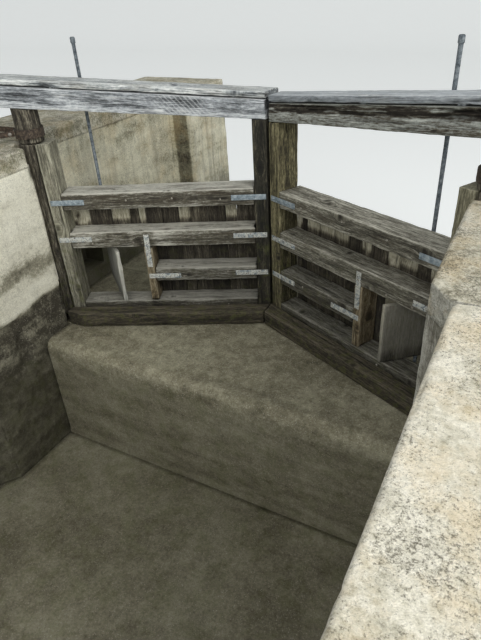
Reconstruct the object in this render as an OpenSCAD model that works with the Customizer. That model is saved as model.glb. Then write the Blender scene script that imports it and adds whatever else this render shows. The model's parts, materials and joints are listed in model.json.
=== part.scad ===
// Sluice gate: two timber mitre leaves with balance beams and butterfly paddles, hung in a
// concrete lock head. The mitre line is at x = 0, upstream is +y, and z = 0 is the underside.

/* [Chamber] */
// Mitre line to the left wall face
chamber_left = 2216; // [2100:10:2600]
// Mitre line to the right wall face
chamber_right = 2129; // [2050:10:2600]
// Thickness of the side walls
wall_t = 1530; // [900:10:2000]
// Height of the coping above the underside
coping_top = 3850; // [3600:10:4100]
// Thickness of the coping slabs
coping_t = 200; // [120:10:300]
// Reach of the walls downstream of the mitre point
wall_down = 4600; // [3800:50:6000]
// Reach of the walls upstream of the mitre point
wall_up = 3000; // [2600:50:4000]
// Where the thicker wall beside the gate begins to step back
jog_y = 2455; // [2200:5:2800]
// Depth of that step
jog_d = 140; // [60:5:200]
// Length of the splay on that step
jog_splay = 174; // [80:2:260]
// Distance of the coping end from the mitre point
coping_end = 1167; // [1130:1:1200]
// Width of the open joints in the coping
joint_gap = 8; // [4:1:20]
// Chamfer along the chamber edge of the coping
arris = 15; // [5:1:30]

/* [Floors] */
// Thickness of the lower floor
lower_floor_t = 250; // [150:10:400]
// Height of the upper floor above the underside
upper_floor_top = 1700; // [1500:10:1800]
// Thickness of the upper floor
upper_floor_t = 350; // [200:10:500]
// Distance of the drop from the mitre point
breast_y = 1600; // [1500:10:1900]
// Radius of the rounded crest at the drop
crest_r = 120; // [40:5:200]
// Reach of the mitre block upstream of the mitre point
block_up = 300; // [100:10:900]
// Thickness of the cut-off wall at the upstream end
cutoff_t = 400; // [200:10:600]
// Width of the sill timbers
sill_w = 200; // [120:5:260]
// Height of the sill timbers
sill_h = 180; // [100:5:240]
// Half the joint between the sill timbers, and their gap to the walls
sill_joint = 2; // [1:0.5:6]
// Gap between the sill and the closed leaf
sill_clear = 8; // [4:1:20]

/* [Recesses] */
// Depth of the gate recess behind the wall face
recess_d = 420; // [400:5:600]
// Upstream end of the recess
recess_end = 2000; // [1900:10:2400]
// Depth of the niche that takes an open paddle
niche_d = 340; // [330:5:500]
// Clear height over and under the paddle in the niche
niche_clear = 60; // [20:5:150]
// Clear length at each end of the niche
niche_end = 20; // [10:2:60]
// Radius of the hollow quoin
quoin_r = 145; // [143:0.5:160]
// Distance of the quoin block from the wall face
quoin_step = 84; // [60:2:110]

/* [Gate leaves] */
// Angle of each closed leaf to the line across the chamber
mitre_angle = 25.1; // [18:0.1:30]
// Mitre point to the inner face of the left heel post
heel_inner = 2301; // [2250:1:2310]
// How much shorter the right leaf is
right_short = 80; // [60:1:120]
// Gap between the mitre line and each leaf
mitre_gap = 12; // [6:1:20]
// Mitre point to the inner face of the mitre post
mitre_inner = 162; // [150:1:260]
// Width of the heel post
heel_w = 149; // [120:1:200]
// Depth of the posts
post_d = 274; // [250:1:290]
// Height of the leaf's foot above the upper floor
foot_gap = 50; // [30:5:80]
// Width of the open groove between heel post and quoin post
groove_w = 18; // [6:1:30]
// Depth of that groove
groove_d = 40; // [10:5:80]
// Distance from heel post to the centre of the quoin post
quoin_offset = 73; // [60:1:90]

/* [Rails] */
// Top of the top rail above the underside
rail_top = 3300; // [3200:5:3400]
// Depth of the top rail
rail_d = 302; // [290:1:320]
// Height of the top rail
top_rail_h = 185; // [150:5:220]
// Drop from the top of the top rail to the middle rail
middle_rail_drop = 457; // [400:1:520]
// Height of the middle rail
middle_rail_h = 192; // [150:1:220]
// Drop from the top of the top rail to the lower rail
lower_rail_drop = 928; // [880:1:960]
// Height of the lower rail
lower_rail_h = 171; // [140:1:200]
// Height of the bottom rail
bottom_rail_h = 190; // [140:5:220]
// Thickness of the planking
plank_t = 50; // [30:2:70]
// Gap between neighbouring fields of planking
plank_gap = 3; // [1:1:8]
// Width of the stile beside the paddle
stile_w = 99; // [80:1:150]
// Distance from the heel post to the stile
paddle_bay = 838; // [820:1:900]

/* [Balance beams] */
// Slope of the underside of the left beam
left_slope = 4.75; // [3:0.05:6]
// Slope of the underside of the right beam
right_slope = 5.45; // [3:0.05:6]
// Underside of the left beam above the top rail at the mitre point
left_rise = 698; // [640:1:760]
// Underside of the right beam above the top rail at the mitre point
right_rise = 683; // [640:1:760]
// Height of the left beam at the mitre point
left_beam_h = 199; // [160:1:260]
// Height of the right beam at the mitre point
right_beam_h = 181; // [160:1:260]
// Height of the left beam at its tail
left_tail_h = 235; // [180:1:300]
// Height of the right beam at its tail
right_tail_h = 270; // [180:1:300]
// Depth of the beam and its cap
beam_d = 290; // [240:5:300]
// Thickness of the cap plank
cap_t = 65; // [40:1:90]
// Packing between beam and cap
cap_gap = 8; // [4:1:20]
// Length of the tail beyond the pivot
beam_tail = 2900; // [2000:50:3500]
// Chamfer at the end of the tail
tail_chamfer = 40; // [10:5:80]
// Spacing of the packers
packer_step = 900; // [500:50:1500]
// Length of each packer
packer_l = 60; // [30:5:120]
// Mitre point to the first packer
packer_first = 300; // [200:10:500]
// Distance of the packers from the faces of the beam
packer_inset = 20; // [5:5:60]

/* [Paddles] */
// Distance from the heel post to the stem
stem_offset = 368; // [350:1:380]
// Gap between the stem and the back of the leaf
stem_gap = 5; // [5:1:20]
// Radius of the stem
stem_r = 19; // [14:1:22]
// Height of the stem above the top rail
stem_rise = 1510; // [1350:10:1600]
// Height of the stem's lower end above the foot of the leaf
stem_foot = 30; // [10:5:50]
// Radius of the head on the stem
head_r = 25; // [24:1:45]
// Height of the head on the stem
head_h = 60; // [40:5:120]
// Height of the guides that hold the stem
guide_h = 40; // [20:5:60]
// Wall of the guides round the stem
guide_t = 10; // [6:1:20]
// Clearance of the stem in its guides
guide_clear = 2; // [1:0.5:4]
// Height of the lower guide above the foot of the leaf
guide_foot = 60; // [50:5:100]
// Angle of the paddle from the leaf in the open position
paddle_open = 65; // [20:1:80]
// Reach of the paddle on the mitre side
paddle_in = 400; // [380:1:425]
// Reach of the paddle on the heel side
paddle_out = 400; // [370:1:410]
// Thickness of the paddle
paddle_t = 50; // [30:2:60]
// Top of the paddle below the top of the top rail
paddle_drop = 700; // [670:5:760]
// Clearance between the paddle and the bottom rail
paddle_clear = 20; // [8:1:40]
// Gap between the edge of the planking and the paddle
plank_clear = 9; // [6:1:20]

/* [Ironwork] */
// Thickness of the strap plates
strap_t = 8; // [5:1:12]
// Height of the strap plates
strap_h = 60; // [40:2:90]
// Length of the strap plates
strap_l = 380; // [250:5:450]
// Distance of the plates from the outer edge of a post
strap_edge = 20; // [10:1:40]
// Drop of the left plates: top, middle, lower rail at the mitre, lower rail at the stile
left_strap_drops = [95, 82, 80, 100]; // [60:1:140]
// Drop of the right plates, in the same order
right_strap_drops = [100, 102, 76, 84]; // [60:1:140]
// Inner radius clearance of the collars
collar_clear = 2; // [1:0.5:4]
// Thickness of the collars
collar_t = 14; // [8:1:20]
// Height of the collars
collar_h = 100; // [60:5:110]
// Height of the collar above the coping
collar_rise = 55; // [20:5:80]
// Length of the anchor arms from the pivot
anchor_len = 850; // [600:10:1100]
// Height of the anchor arms
anchor_h = 60; // [30:5:80]
// Thickness of the anchor arms
anchor_t = 16; // [8:1:30]
// Turn of the second arm downstream
anchor_turn = 51; // [30:1:80]
// Length of the foot plates under the arms
shoe_l = 160; // [100:10:240]
// Width of the foot plates
shoe_w = 140; // [80:10:200]
// Radius of the pintle
pintle_r = 40; // [25:1:60]
// Clearance of the pintle in its socket
pintle_clear = 2; // [1:0.5:4]

/* [Hidden] */
$fn = 64;
LEFT = -1;
RIGHT = 1;

niche_length = paddle_in + paddle_out + 2 * niche_end;
// Reach of shapes that are cut to length afterwards
past = 300;
tall = 4000;

foot = upper_floor_top + foot_gap;
pivot_w = post_d / 2;
quoin_post_r = post_d / 2;
collar_r = quoin_post_r + collar_clear + collar_t;
wall_top = coping_top - coping_t;
plank_w = rail_d - plank_t;
middle_top = rail_top - middle_rail_drop;
middle_bottom = middle_top - middle_rail_h;
lower_top = rail_top - lower_rail_drop;
bottom_top = foot + bottom_rail_h;
paddle_top = rail_top - paddle_drop;
paddle_bottom = bottom_top + paddle_clear;
stem_w = rail_d + stem_gap + stem_r;
pilaster_splay = jog_y + jog_splay;

function heel_in(s) = s == LEFT ? heel_inner : heel_inner - right_short;
function heel_out(s) = heel_in(s) + heel_w;
function pivot_u(s) = heel_out(s) + quoin_offset;
function tail_u(s) = pivot_u(s) + beam_tail;
function stile_out(s) = heel_in(s) - paddle_bay;
function stile_in(s) = stile_out(s) - stile_w;
function stem_u(s) = heel_in(s) - stem_offset;
function face(s) = s == LEFT ? chamber_left : chamber_right;
function outer(s) = face(s) + wall_t;
function back(s) = face(s) + recess_d;
function pivot_x(s) = pivot_u(s) * cos(mitre_angle) + pivot_w * sin(mitre_angle);
function pivot_y(s) = -pivot_u(s) * sin(mitre_angle) + pivot_w * cos(mitre_angle);
function mitre_u(w) = (mitre_gap - w * sin(mitre_angle)) / cos(mitre_angle);

// Underside of the beam at a distance u from the mitre point, and the beam's height there
function underside(s, u) =
    rail_top + (s == LEFT ? left_rise + u * tan(left_slope) : right_rise + u * tan(right_slope));
function beam_h(s, u) =
    s == LEFT ? left_beam_h + (left_tail_h - left_beam_h) * u / tail_u(s)
    : right_beam_h + (right_tail_h - right_beam_h) * u / tail_u(s);

// Two points each of the line along the underside and of a line a given height over the top
function low_line(s) = [for (u = [-past, tail_u(s) + past]) [u, underside(s, u)]];
function high_line(s, rise) =
    [for (u = [-past, tail_u(s) + past]) [u, underside(s, u) + beam_h(s, u) + rise]];
function reversed(points) = [for (i = [len(points) - 1 : -1 : 0]) points[i]];

// Everything beside the chamber is drawn on the right and mirrored for the left
module side(s) {
    if (s == LEFT) mirror([1, 0, 0]) children();
    else children();
}

// Leaf frame: x runs from the mitre to the heel, y from the downstream face to the upstream face
module leaf(s) {
    side(s) rotate([0, 0, -mitre_angle]) children();
}

// A timber drawn by its elevation and laid between two depths of the leaf
module elevation(points, w0, w1) {
    translate([0, w1, 0]) rotate([90, 0, 0]) linear_extrude(w1 - w0) polygon(points);
}

module timber(u0, u1, w0, w1, z0, z1) {
    translate([u0, w0, z0]) cube([u1 - u0, w1 - w0, z1 - z0]);
}

// Everything of the leaf that lies below the beam, as seen in elevation
module under_beam(s) {
    elevation(concat([[-past, 0], [tail_u(s) + past, 0]], reversed(low_line(s))), -past, 2 * past);
}

module tail_wall(s) {
    color("#b9b3a0") side(s) difference() {
        linear_extrude(wall_top) polygon([
            [face(s) + jog_d, -wall_down], [face(s) + jog_d, -pilaster_splay],
            [face(s), -jog_y], [face(s), -coping_end],
            [face(s) + quoin_step, -coping_end], [face(s) + quoin_step, pivot_y(s)],
            [outer(s), pivot_y(s)], [outer(s), -wall_down]
        ]);
        translate([pivot_x(s), pivot_y(s), upper_floor_top]) cylinder(r = quoin_r, h = tall);
    }
}

// Wall behind the open leaf, with a low niche for its paddle
module recess_wall(s) {
    niche_up = pivot_y(s) + pivot_u(s) - stem_u(s) + paddle_out + niche_end;
    color("#aca68f") side(s) difference() {
        linear_extrude(wall_top) polygon([
            [back(s), pivot_y(s)], [outer(s), pivot_y(s)], [outer(s), recess_end], [back(s), recess_end]
        ]);
        translate([back(s) - 1, niche_up - niche_length, paddle_bottom - niche_clear])
            cube([niche_d + 1, niche_length, paddle_top - paddle_bottom + 2 * niche_clear]);
    }
}

module head_wall(s) {
    color("#c2bca9") side(s)
        translate([face(s), recess_end, 0]) cube([wall_t, wall_up - recess_end, wall_top]);
}

// Each coping slab in plan: its edge along the chamber, and then the rest of its outline
function coping_slabs(s) =
    let (half = joint_gap / 2, notch = pivot_x(s) + collar_r)
    [
        [
            [[face(s) + jog_d, -wall_down], [face(s) + jog_d, -pilaster_splay - half]],
            [[outer(s), -pilaster_splay - half], [outer(s), -wall_down]]
        ],
        [
            [[face(s) + jog_d, -pilaster_splay + half], [face(s), -jog_y], [face(s), -coping_end]],
            [
                [notch, -coping_end], [notch, pivot_y(s) - half],
                [outer(s), pivot_y(s) - half], [outer(s), -pilaster_splay + half]
            ]
        ],
        [
            [[back(s), pivot_y(s) + half], [back(s), recess_end - half]],
            [[outer(s), recess_end - half], [outer(s), pivot_y(s) + half]]
        ],
        [
            [[face(s), recess_end + half], [face(s), wall_up]],
            [[outer(s), wall_up], [outer(s), recess_end + half]]
        ]
    ];

// Bar with its diagonals upright and level, which cuts a chamfer along the line from p to q
module chamfer_bar(p, q, leg) {
    across = leg * sqrt(2);
    reach = 4 * leg;
    translate([p.x, p.y, 0]) rotate([0, 0, atan2(q.y - p.y, q.x - p.x)]) rotate([45, 0, 0])
        translate([-reach, -across / 2, -across / 2]) cube([norm(q - p) + 2 * reach, across, across]);
}

module coping(s) {
    color("#cfc8b2") side(s) for (slab = coping_slabs(s)) difference() {
        translate([0, 0, wall_top]) linear_extrude(coping_t) polygon(concat(slab[0], slab[1]));
        translate([0, 0, coping_top]) for (i = [1 : len(slab[0]) - 1])
            chamfer_bar(slab[0][i - 1], slab[0][i], arris);
    }
}

// Right edge of the mitre block in plan, from the drop to its upstream end
function block_edge(s) = [
    [face(s), -breast_y], [face(s), -coping_end], [face(s) + quoin_step, -coping_end],
    [face(s) + quoin_step, pivot_y(s)], [back(s), pivot_y(s)], [back(s), block_up]
];

// Right edge of the upper floor in plan, from the mitre block to the upstream end
function floor_edge(s) = [[back(s), block_up], [back(s), recess_end], [face(s), recess_end], [face(s), wall_up]];

// Right edge of the lower floor in plan, from the downstream end to the drop
function lower_edge(s) = [
    [face(s) + jog_d, -wall_down], [face(s) + jog_d, -pilaster_splay], [face(s), -jog_y], [face(s), -breast_y]
];

// Outline between the two side walls, made from the right edge of each
function both_edges(right, left) = concat(right, [for (point = reversed(left)) [-point.x, point.y]]);

// Mitre block, with a rounded crest at the drop
module breast_wall() {
    color("#8f8a78") difference() {
        linear_extrude(upper_floor_top) polygon(both_edges(block_edge(RIGHT), block_edge(LEFT)));
        translate([-chamber_left - 1, -breast_y, upper_floor_top - crest_r]) rotate([90, 0, 90])
            linear_extrude(chamber_left + chamber_right + 2) difference() {
                translate([-1, 0]) square(crest_r + 1);
                translate([crest_r, 0]) circle(crest_r);
            }
    }
}

module upper_floor() {
    color("#7f7b6c") translate([0, 0, upper_floor_top - upper_floor_t]) linear_extrude(upper_floor_t)
        polygon(both_edges(floor_edge(RIGHT), floor_edge(LEFT)));
}

module cutoff_wall() {
    color("#8f8a78") translate([-chamber_left, wall_up - cutoff_t, 0])
        cube([chamber_left + chamber_right, cutoff_t, upper_floor_top - upper_floor_t]);
}

module lower_floor() {
    color("#7f7b6c") linear_extrude(lower_floor_t) polygon(both_edges(lower_edge(RIGHT), lower_edge(LEFT)));
}

module sill_timber(s) {
    side(s) intersection() {
        rotate([0, 0, -mitre_angle])
            timber(-past, tall, -sill_clear - sill_w, -sill_clear, upper_floor_top, upper_floor_top + sill_h);
        translate([sill_joint, -coping_end, upper_floor_top])
            cube([face(s) - sill_joint - sill_joint, coping_end + past, sill_h]);
    }
}

module mitre_sill() {
    color("#4b4334") {
        sill_timber(LEFT);
        sill_timber(RIGHT);
    }
}

module collar(s) {
    side(s) translate([pivot_x(s), pivot_y(s), coping_top + collar_rise]) difference() {
        cylinder(r = collar_r, h = collar_h);
        translate([0, 0, -1]) cylinder(r = collar_r - collar_t, h = collar_h + 2);
    }
}

module collars() {
    color("#4a362a") {
        collar(LEFT);
        collar(RIGHT);
    }
}

// Arm that leaves the collar and lies on a foot plate at its far end
module anchor_arm(turn) {
    arm_z = collar_rise + (collar_h - anchor_h) / 2;
    rotate([0, 0, turn]) difference() {
        union() {
            translate([0, -anchor_t / 2, arm_z]) cube([anchor_len, anchor_t, anchor_h]);
            translate([anchor_len - shoe_l, -shoe_w / 2, 0]) cube([shoe_l, shoe_w, arm_z]);
        }
        cylinder(r = collar_r, h = tall);
    }
}

module anchors() {
    color("#53402f") for (s = [LEFT, RIGHT]) side(s) translate([pivot_x(s), pivot_y(s), coping_top]) {
        anchor_arm(0);
        anchor_arm(-anchor_turn);
    }
}

// Pins that the gate leaves turn on, each with its shoe
module pintles() {
    color("#4a4642") for (s = [LEFT, RIGHT]) side(s) translate([pivot_x(s), pivot_y(s), upper_floor_top]) {
        cylinder(r = 3 * pintle_r, h = foot_gap / 2);
        cylinder(r = pintle_r, h = foot_gap + pintle_r);
    }
}

module heel_post(s) {
    color("#5b5246") leaf(s) timber(heel_in(s), heel_out(s), 0, post_d, foot, coping_top);
}

// Rounded post that turns in the hollow quoin; its neck rises through the collar to the beam
module quoin_post(s) {
    edge = heel_out(s);
    color("#4c443a") leaf(s) difference() {
        union() {
            intersection() {
                translate([pivot_u(s), pivot_w, foot]) cylinder(r = quoin_post_r, h = tall);
                under_beam(s);
            }
            timber(edge, pivot_u(s), 0, post_d, foot, coping_top);
        }
        timber(edge - past, edge, -1, post_d + 1, foot - 1, coping_top);
        timber(edge, edge + groove_w, -1, groove_d, foot - 1, coping_top + 1);
        translate([pivot_u(s), pivot_w, foot - 1])
            cylinder(r = pintle_r + pintle_clear, h = pintle_r + pintle_clear + 1);
    }
}

// Plan of a timber that is cut back to the mitre line at one end
module nose_plan(u1, depth) {
    polygon([[mitre_u(0), 0], [u1, 0], [u1, depth], [mitre_u(depth), depth]]);
}

module mitre_post(s) {
    color("#5b5246") leaf(s) intersection() {
        translate([0, 0, foot]) linear_extrude(tall) nose_plan(mitre_inner, post_d);
        under_beam(s);
    }
}

module top_rail(s) {
    color("#756c5d") leaf(s) timber(mitre_inner, heel_in(s), 0, rail_d, rail_top - top_rail_h, rail_top);
}

module middle_rail(s) {
    color("#6a6153") leaf(s) timber(mitre_inner, heel_in(s), 0, plank_w, middle_bottom, middle_top);
}

module lower_rail(s) {
    color("#6a6153") leaf(s) timber(mitre_inner, stile_in(s), 0, plank_w, lower_top - lower_rail_h, lower_top);
}

module bottom_rail(s) {
    color("#4f483d") leaf(s) timber(mitre_inner, heel_in(s), 0, plank_w, foot, bottom_top);
}

module stile(s) {
    color("#6a6153") leaf(s) timber(stile_in(s), stile_out(s), 0, plank_w, bottom_top, middle_bottom);
}

// Boards on the upstream face: over the whole leaf down to the middle rail, and down to the
// foot between the mitre post and the paddle bay
module planking(s) {
    edge = stem_u(s) - paddle_in - plank_clear;
    top = rail_top - top_rail_h;
    color("#8d7f63") leaf(s) {
        timber(mitre_inner, edge, plank_w, rail_d, foot, top);
        timber(edge + plank_gap, heel_in(s), plank_w, rail_d, middle_bottom, top);
    }
}

// Part of the beam and its cap between two lines of the elevation
module beam_layer(s, low, high) {
    intersection() {
        linear_extrude(2 * tall) nose_plan(tail_u(s), beam_d);
        elevation(concat(low, reversed(high)), -past, 2 * past);
    }
}

module beam(s) {
    color("#7f858a") leaf(s) difference() {
        beam_layer(s, low_line(s), high_line(s, 0));
        for (w = [0, beam_d]) translate([tail_u(s), w, 0]) rotate([0, 0, 45])
            cube([tail_chamfer * sqrt(2), tail_chamfer * sqrt(2), 3 * tall], center = true);
    }
}

// Plank on top of the beam, which lies on packers
module beam_cap(s) {
    color("#a5a59d") leaf(s) difference() {
        beam_layer(s, high_line(s, 0), high_line(s, cap_gap + cap_t));
        difference() {
            beam_layer(s, high_line(s, -cap_gap), high_line(s, cap_gap));
            for (u = [packer_first : packer_step : tail_u(s) - packer_l])
                timber(u, u + packer_l, packer_inset, beam_d - packer_inset, 0, 2 * tall);
        }
    }
}

module strap(u0, u1, z) {
    timber(u0, u1, -strap_t, 0, z - strap_h / 2, z + strap_h / 2);
}

// Flat plates across each joint of the frame
module straps(s) {
    drops = s == LEFT ? left_strap_drops : right_strap_drops;
    mitre_start = mitre_u(0) + strap_edge;
    heel_end = heel_out(s) - strap_edge;
    stile_mid = (stile_in(s) + stile_out(s)) / 2;
    color("#8b9296") leaf(s) {
        strap(mitre_start, mitre_start + strap_l, rail_top - drops[0]);
        strap(mitre_start, mitre_start + strap_l, middle_top - drops[1]);
        strap(mitre_start, mitre_start + strap_l, lower_top - drops[2]);
        strap(heel_end - strap_l, heel_end, rail_top - drops[0]);
        strap(heel_end - strap_l, heel_end, middle_top - drops[1]);
        strap(stile_out(s) - strap_edge - strap_l, stile_out(s) - strap_edge, lower_top - drops[3]);
        timber(stile_mid - strap_h / 2, stile_mid + strap_h / 2, -strap_t, 0,
            lower_top + strap_edge, middle_top - 2 * strap_edge);
    }
}

// Bracket that holds the stem clear of the timber face at depth w
module stem_guide(s, z, w) {
    outer_r = stem_r + guide_clear + guide_t;
    translate([stem_u(s), stem_w, z]) difference() {
        union() {
            cylinder(r = outer_r, h = guide_h);
            translate([-outer_r, w - stem_w, 0]) cube([2 * outer_r, stem_w - w, guide_h]);
        }
        translate([0, 0, -1]) cylinder(r = stem_r + guide_clear, h = guide_h + 2);
        // The round part stops at the face of the timber
        translate([-2 * outer_r, w - stem_w - past, -1]) cube([4 * outer_r, past, guide_h + 2]);
    }
}

module stem_guides(s) {
    color("#4a4642") leaf(s) {
        stem_guide(s, rail_top - (top_rail_h + guide_h) / 2, rail_d);
        stem_guide(s, foot + guide_foot, plank_w);
    }
}

module paddle(s) {
    color("#6f7378") leaf(s) translate([stem_u(s), stem_w, paddle_bottom]) rotate([0, 0, paddle_open])
        difference() {
            translate([-paddle_in, -paddle_t / 2, 0])
                cube([paddle_in + paddle_out, paddle_t, paddle_top - paddle_bottom]);
            translate([0, 0, -1]) cylinder(r = stem_r, h = paddle_top - paddle_bottom + 2);
        }
}

module stem(s) {
    color("#4d4f50") leaf(s) translate([stem_u(s), stem_w, 0]) {
        translate([0, 0, foot + stem_foot]) cylinder(r = stem_r, h = rail_top + stem_rise - foot - stem_foot);
        translate([0, 0, rail_top + stem_rise - head_h]) cylinder(r = head_r, h = head_h);
    }
}

tail_wall(LEFT);  // left_tail_wall
recess_wall(LEFT);  // left_recess_wall
head_wall(LEFT);  // left_head_wall
coping(LEFT);  // left_coping
tail_wall(RIGHT);  // right_tail_wall
recess_wall(RIGHT);  // right_recess_wall
head_wall(RIGHT);  // right_head_wall
coping(RIGHT);  // right_coping
breast_wall();
upper_floor();
cutoff_wall();
lower_floor();
mitre_sill();
collars();
anchors();
pintles();
heel_post(LEFT);  // left_heel_post
quoin_post(LEFT);  // left_quoin_post
mitre_post(LEFT);  // left_mitre_post
top_rail(LEFT);  // left_top_rail
middle_rail(LEFT);  // left_middle_rail
lower_rail(LEFT);  // left_lower_rail
bottom_rail(LEFT);  // left_bottom_rail
stile(LEFT);  // left_stile
planking(LEFT);  // left_planking
beam(LEFT);  // left_beam
beam_cap(LEFT);  // left_beam_cap
straps(LEFT);  // left_straps
stem_guides(LEFT);  // left_stem_guides
paddle(LEFT);  // left_paddle
stem(LEFT);  // left_stem
heel_post(RIGHT);  // right_heel_post
quoin_post(RIGHT);  // right_quoin_post
mitre_post(RIGHT);  // right_mitre_post
top_rail(RIGHT);  // right_top_rail
middle_rail(RIGHT);  // right_middle_rail
lower_rail(RIGHT);  // right_lower_rail
bottom_rail(RIGHT);  // right_bottom_rail
stile(RIGHT);  // right_stile
planking(RIGHT);  // right_planking
beam(RIGHT);  // right_beam
beam_cap(RIGHT);  // right_beam_cap
straps(RIGHT);  // right_straps
stem_guides(RIGHT);  // right_stem_guides
paddle(RIGHT);  // right_paddle
stem(RIGHT);  // right_stem
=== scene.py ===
import json
import math
from dataclasses import dataclass
from itertools import product

import bmesh
import bpy
import numpy as np
from mathutils import Matrix, Vector
from mathutils.geometry import delaunay_2d_cdt


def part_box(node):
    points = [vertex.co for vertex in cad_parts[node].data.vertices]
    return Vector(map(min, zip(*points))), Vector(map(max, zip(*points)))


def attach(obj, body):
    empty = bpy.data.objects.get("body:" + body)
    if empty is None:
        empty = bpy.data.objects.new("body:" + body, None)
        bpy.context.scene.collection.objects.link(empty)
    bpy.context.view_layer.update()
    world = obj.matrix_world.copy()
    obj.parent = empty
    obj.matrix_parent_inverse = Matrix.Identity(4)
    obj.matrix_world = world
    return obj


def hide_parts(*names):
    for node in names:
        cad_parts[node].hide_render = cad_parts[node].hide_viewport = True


bl_info = {
    "name": "Sluice Gate",
    "version": (1, 0, 0),
    "blender": (4, 5, 0),
    "location": "3D View > Sidebar > Sluice Gate",
    "description": "Dresses a pair of timber mitre leaves hung in a concrete lock head",
    "category": "Object",
}

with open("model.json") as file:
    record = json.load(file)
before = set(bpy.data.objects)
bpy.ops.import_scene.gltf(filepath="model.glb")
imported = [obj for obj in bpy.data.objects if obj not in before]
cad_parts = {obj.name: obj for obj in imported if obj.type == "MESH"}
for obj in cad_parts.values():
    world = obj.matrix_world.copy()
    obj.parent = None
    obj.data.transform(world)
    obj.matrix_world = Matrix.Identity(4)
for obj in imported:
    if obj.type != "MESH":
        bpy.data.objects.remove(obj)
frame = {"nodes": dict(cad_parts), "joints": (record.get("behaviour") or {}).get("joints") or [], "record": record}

SIDES = {"left": -1, "right": 1}
MITRE_ANGLE = math.radians(25.1)
MITRE_GAP = 0.012
UP = 2


def hex_colour(text):
    """An sRGB hex value as linear red, green, blue and alpha."""
    parts = [int(text[i:i + 2], 16) / 255 for i in (1, 3, 5)]
    return tuple(c / 12.92 if c <= 0.04045 else ((c + 0.055) / 1.055) ** 2.4 for c in parts) + (1.0,)


# Noise, the same on every run


def scatter(i, j, k, seed):
    """A number from 0 to 1 for each cell of the grid."""
    n = (i * 374761393 + j * 668265263 + k * 1274126177 + seed * 974711) & 0xFFFFFFFF
    n = ((n ^ (n >> 13)) * 1103515245) & 0xFFFFFFFF
    return ((n ^ (n >> 16)) & 0xFFFF) / 65535


def noise(x, y=0.0, z=0.0, seed=0):
    """Smooth noise from 0 to 1 with a period of about one unit."""
    x, y, z = np.broadcast_arrays(x, y, z)
    cell = [np.floor(v).astype(np.int64) for v in (x, y, z)]
    part = [v - c for v, c in zip((x, y, z), cell)]
    part = [p * p * (3 - 2 * p) for p in part]
    total = 0
    for corner in product((0, 1), repeat=3):
        weight = 1
        for p, c in zip(part, corner):
            weight = weight * (p if c else 1 - p)
        total = total + weight * scatter(*(c + d for c, d in zip(cell, corner)), seed)
    return total


def layered(x, y=0.0, z=0.0, seed=0, octaves=4):
    """Noise with finer and finer detail, from 0 to 1."""
    total, share, whole = 0, 1.0, 0
    for octave in range(octaves):
        scale = 2.03 ** octave
        total = total + share * noise(*(np.asarray(v) * scale for v in (x, y, z)), seed + octave)
        whole += share
        share *= 0.5
    return total / whole


def lumps(points, seed=0, octaves=4):
    """The same at points that have already been scaled."""
    return layered(*points.T, seed, octaves)


def step_up(value, low, high):
    """0 below low, 1 above high and smooth between."""
    t = np.clip((value - low) / (high - low), 0, 1)
    return t * t * (3 - 2 * t)


# What the frame says


def cad_points(node):
    mesh = frame["nodes"][node].data
    points = np.empty(len(mesh.vertices) * 3, np.float32)
    mesh.vertices.foreach_get("co", points)
    return points.reshape(-1, 3).astype(float)


def side_of(node):
    return SIDES[node.split("_")[0]]


def to_leaf(points, side):
    """Row frame to the leaf's own: distance from the mitre, depth from the downstream face, height."""
    x, y = side * points[:, 0], points[:, 1]
    c, s = math.cos(MITRE_ANGLE), math.sin(MITRE_ANGLE)
    return np.stack([x * c - y * s, x * s + y * c, points[:, 2]], 1)


def from_leaf(points, side):
    u, w = points[:, 0], points[:, 1]
    c, s = math.cos(MITRE_ANGLE), math.sin(MITRE_ANGLE)
    return np.stack([side * (u * c + w * s), w * c - u * s, points[:, 2]], 1)


def leaf_box(node):
    points = to_leaf(cad_points(node), side_of(node))
    return points.min(0), points.max(0)


def leaf_solids(node):
    """The boxes of a node's separate solids, in its leaf's own frame."""
    mesh = frame["nodes"][node].data
    points = to_leaf(cad_points(node), side_of(node))
    keys = [tuple(p) for p in np.round(points, 4)]
    group = {k: k for k in keys}

    def root(k):
        while group[k] != k:
            k = group[k]
        return k

    for polygon in mesh.polygons:
        first = root(keys[polygon.vertices[0]])
        for v in polygon.vertices[1:]:
            group[root(keys[v])] = first
    found = {}
    for key, point in zip(keys, points):
        found.setdefault(root(key), []).append(point)
    boxes = [(np.min(p, 0), np.max(p, 0)) for p in found.values()]
    return sorted(boxes, key=lambda b: tuple(np.round(b[0], 3)))


def outlines(node, height):
    """The outlines of a node's level faces at a height, counterclockwise, as lists of points."""
    mesh = frame["nodes"][node].data
    points = np.round(cad_points(node), 4)
    used = {}
    for polygon in mesh.polygons:
        corners = [tuple(points[v]) for v in polygon.vertices]
        if all(abs(c[UP] - height) < 1e-3 for c in corners):
            for p, q in zip(corners, corners[1:] + corners[:1]):
                if p != q:
                    used[p[:2], q[:2]] = True
    follow = {p: q for p, q in used if (q, p) not in used}
    loops = []
    while follow:
        loop = [next(iter(follow))]
        while loop[-1] in follow:
            loop.append(follow.pop(loop[-1]))
        loop = np.array(loop[:-1])
        ahead, behind = np.roll(loop, -1, 0) - loop, loop - np.roll(loop, 1, 0)
        turn = ahead[:, 0] * behind[:, 1] - ahead[:, 1] * behind[:, 0]
        loop = loop[np.abs(turn) > 1e-6]
        x, y = loop.T
        area = np.sum(x * np.roll(y, -1) - y * np.roll(x, -1))
        loops.append(loop if area > 0 else loop[::-1])
    return sorted(loops, key=lambda p: p[:, 1].min())


# Meshes


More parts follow.
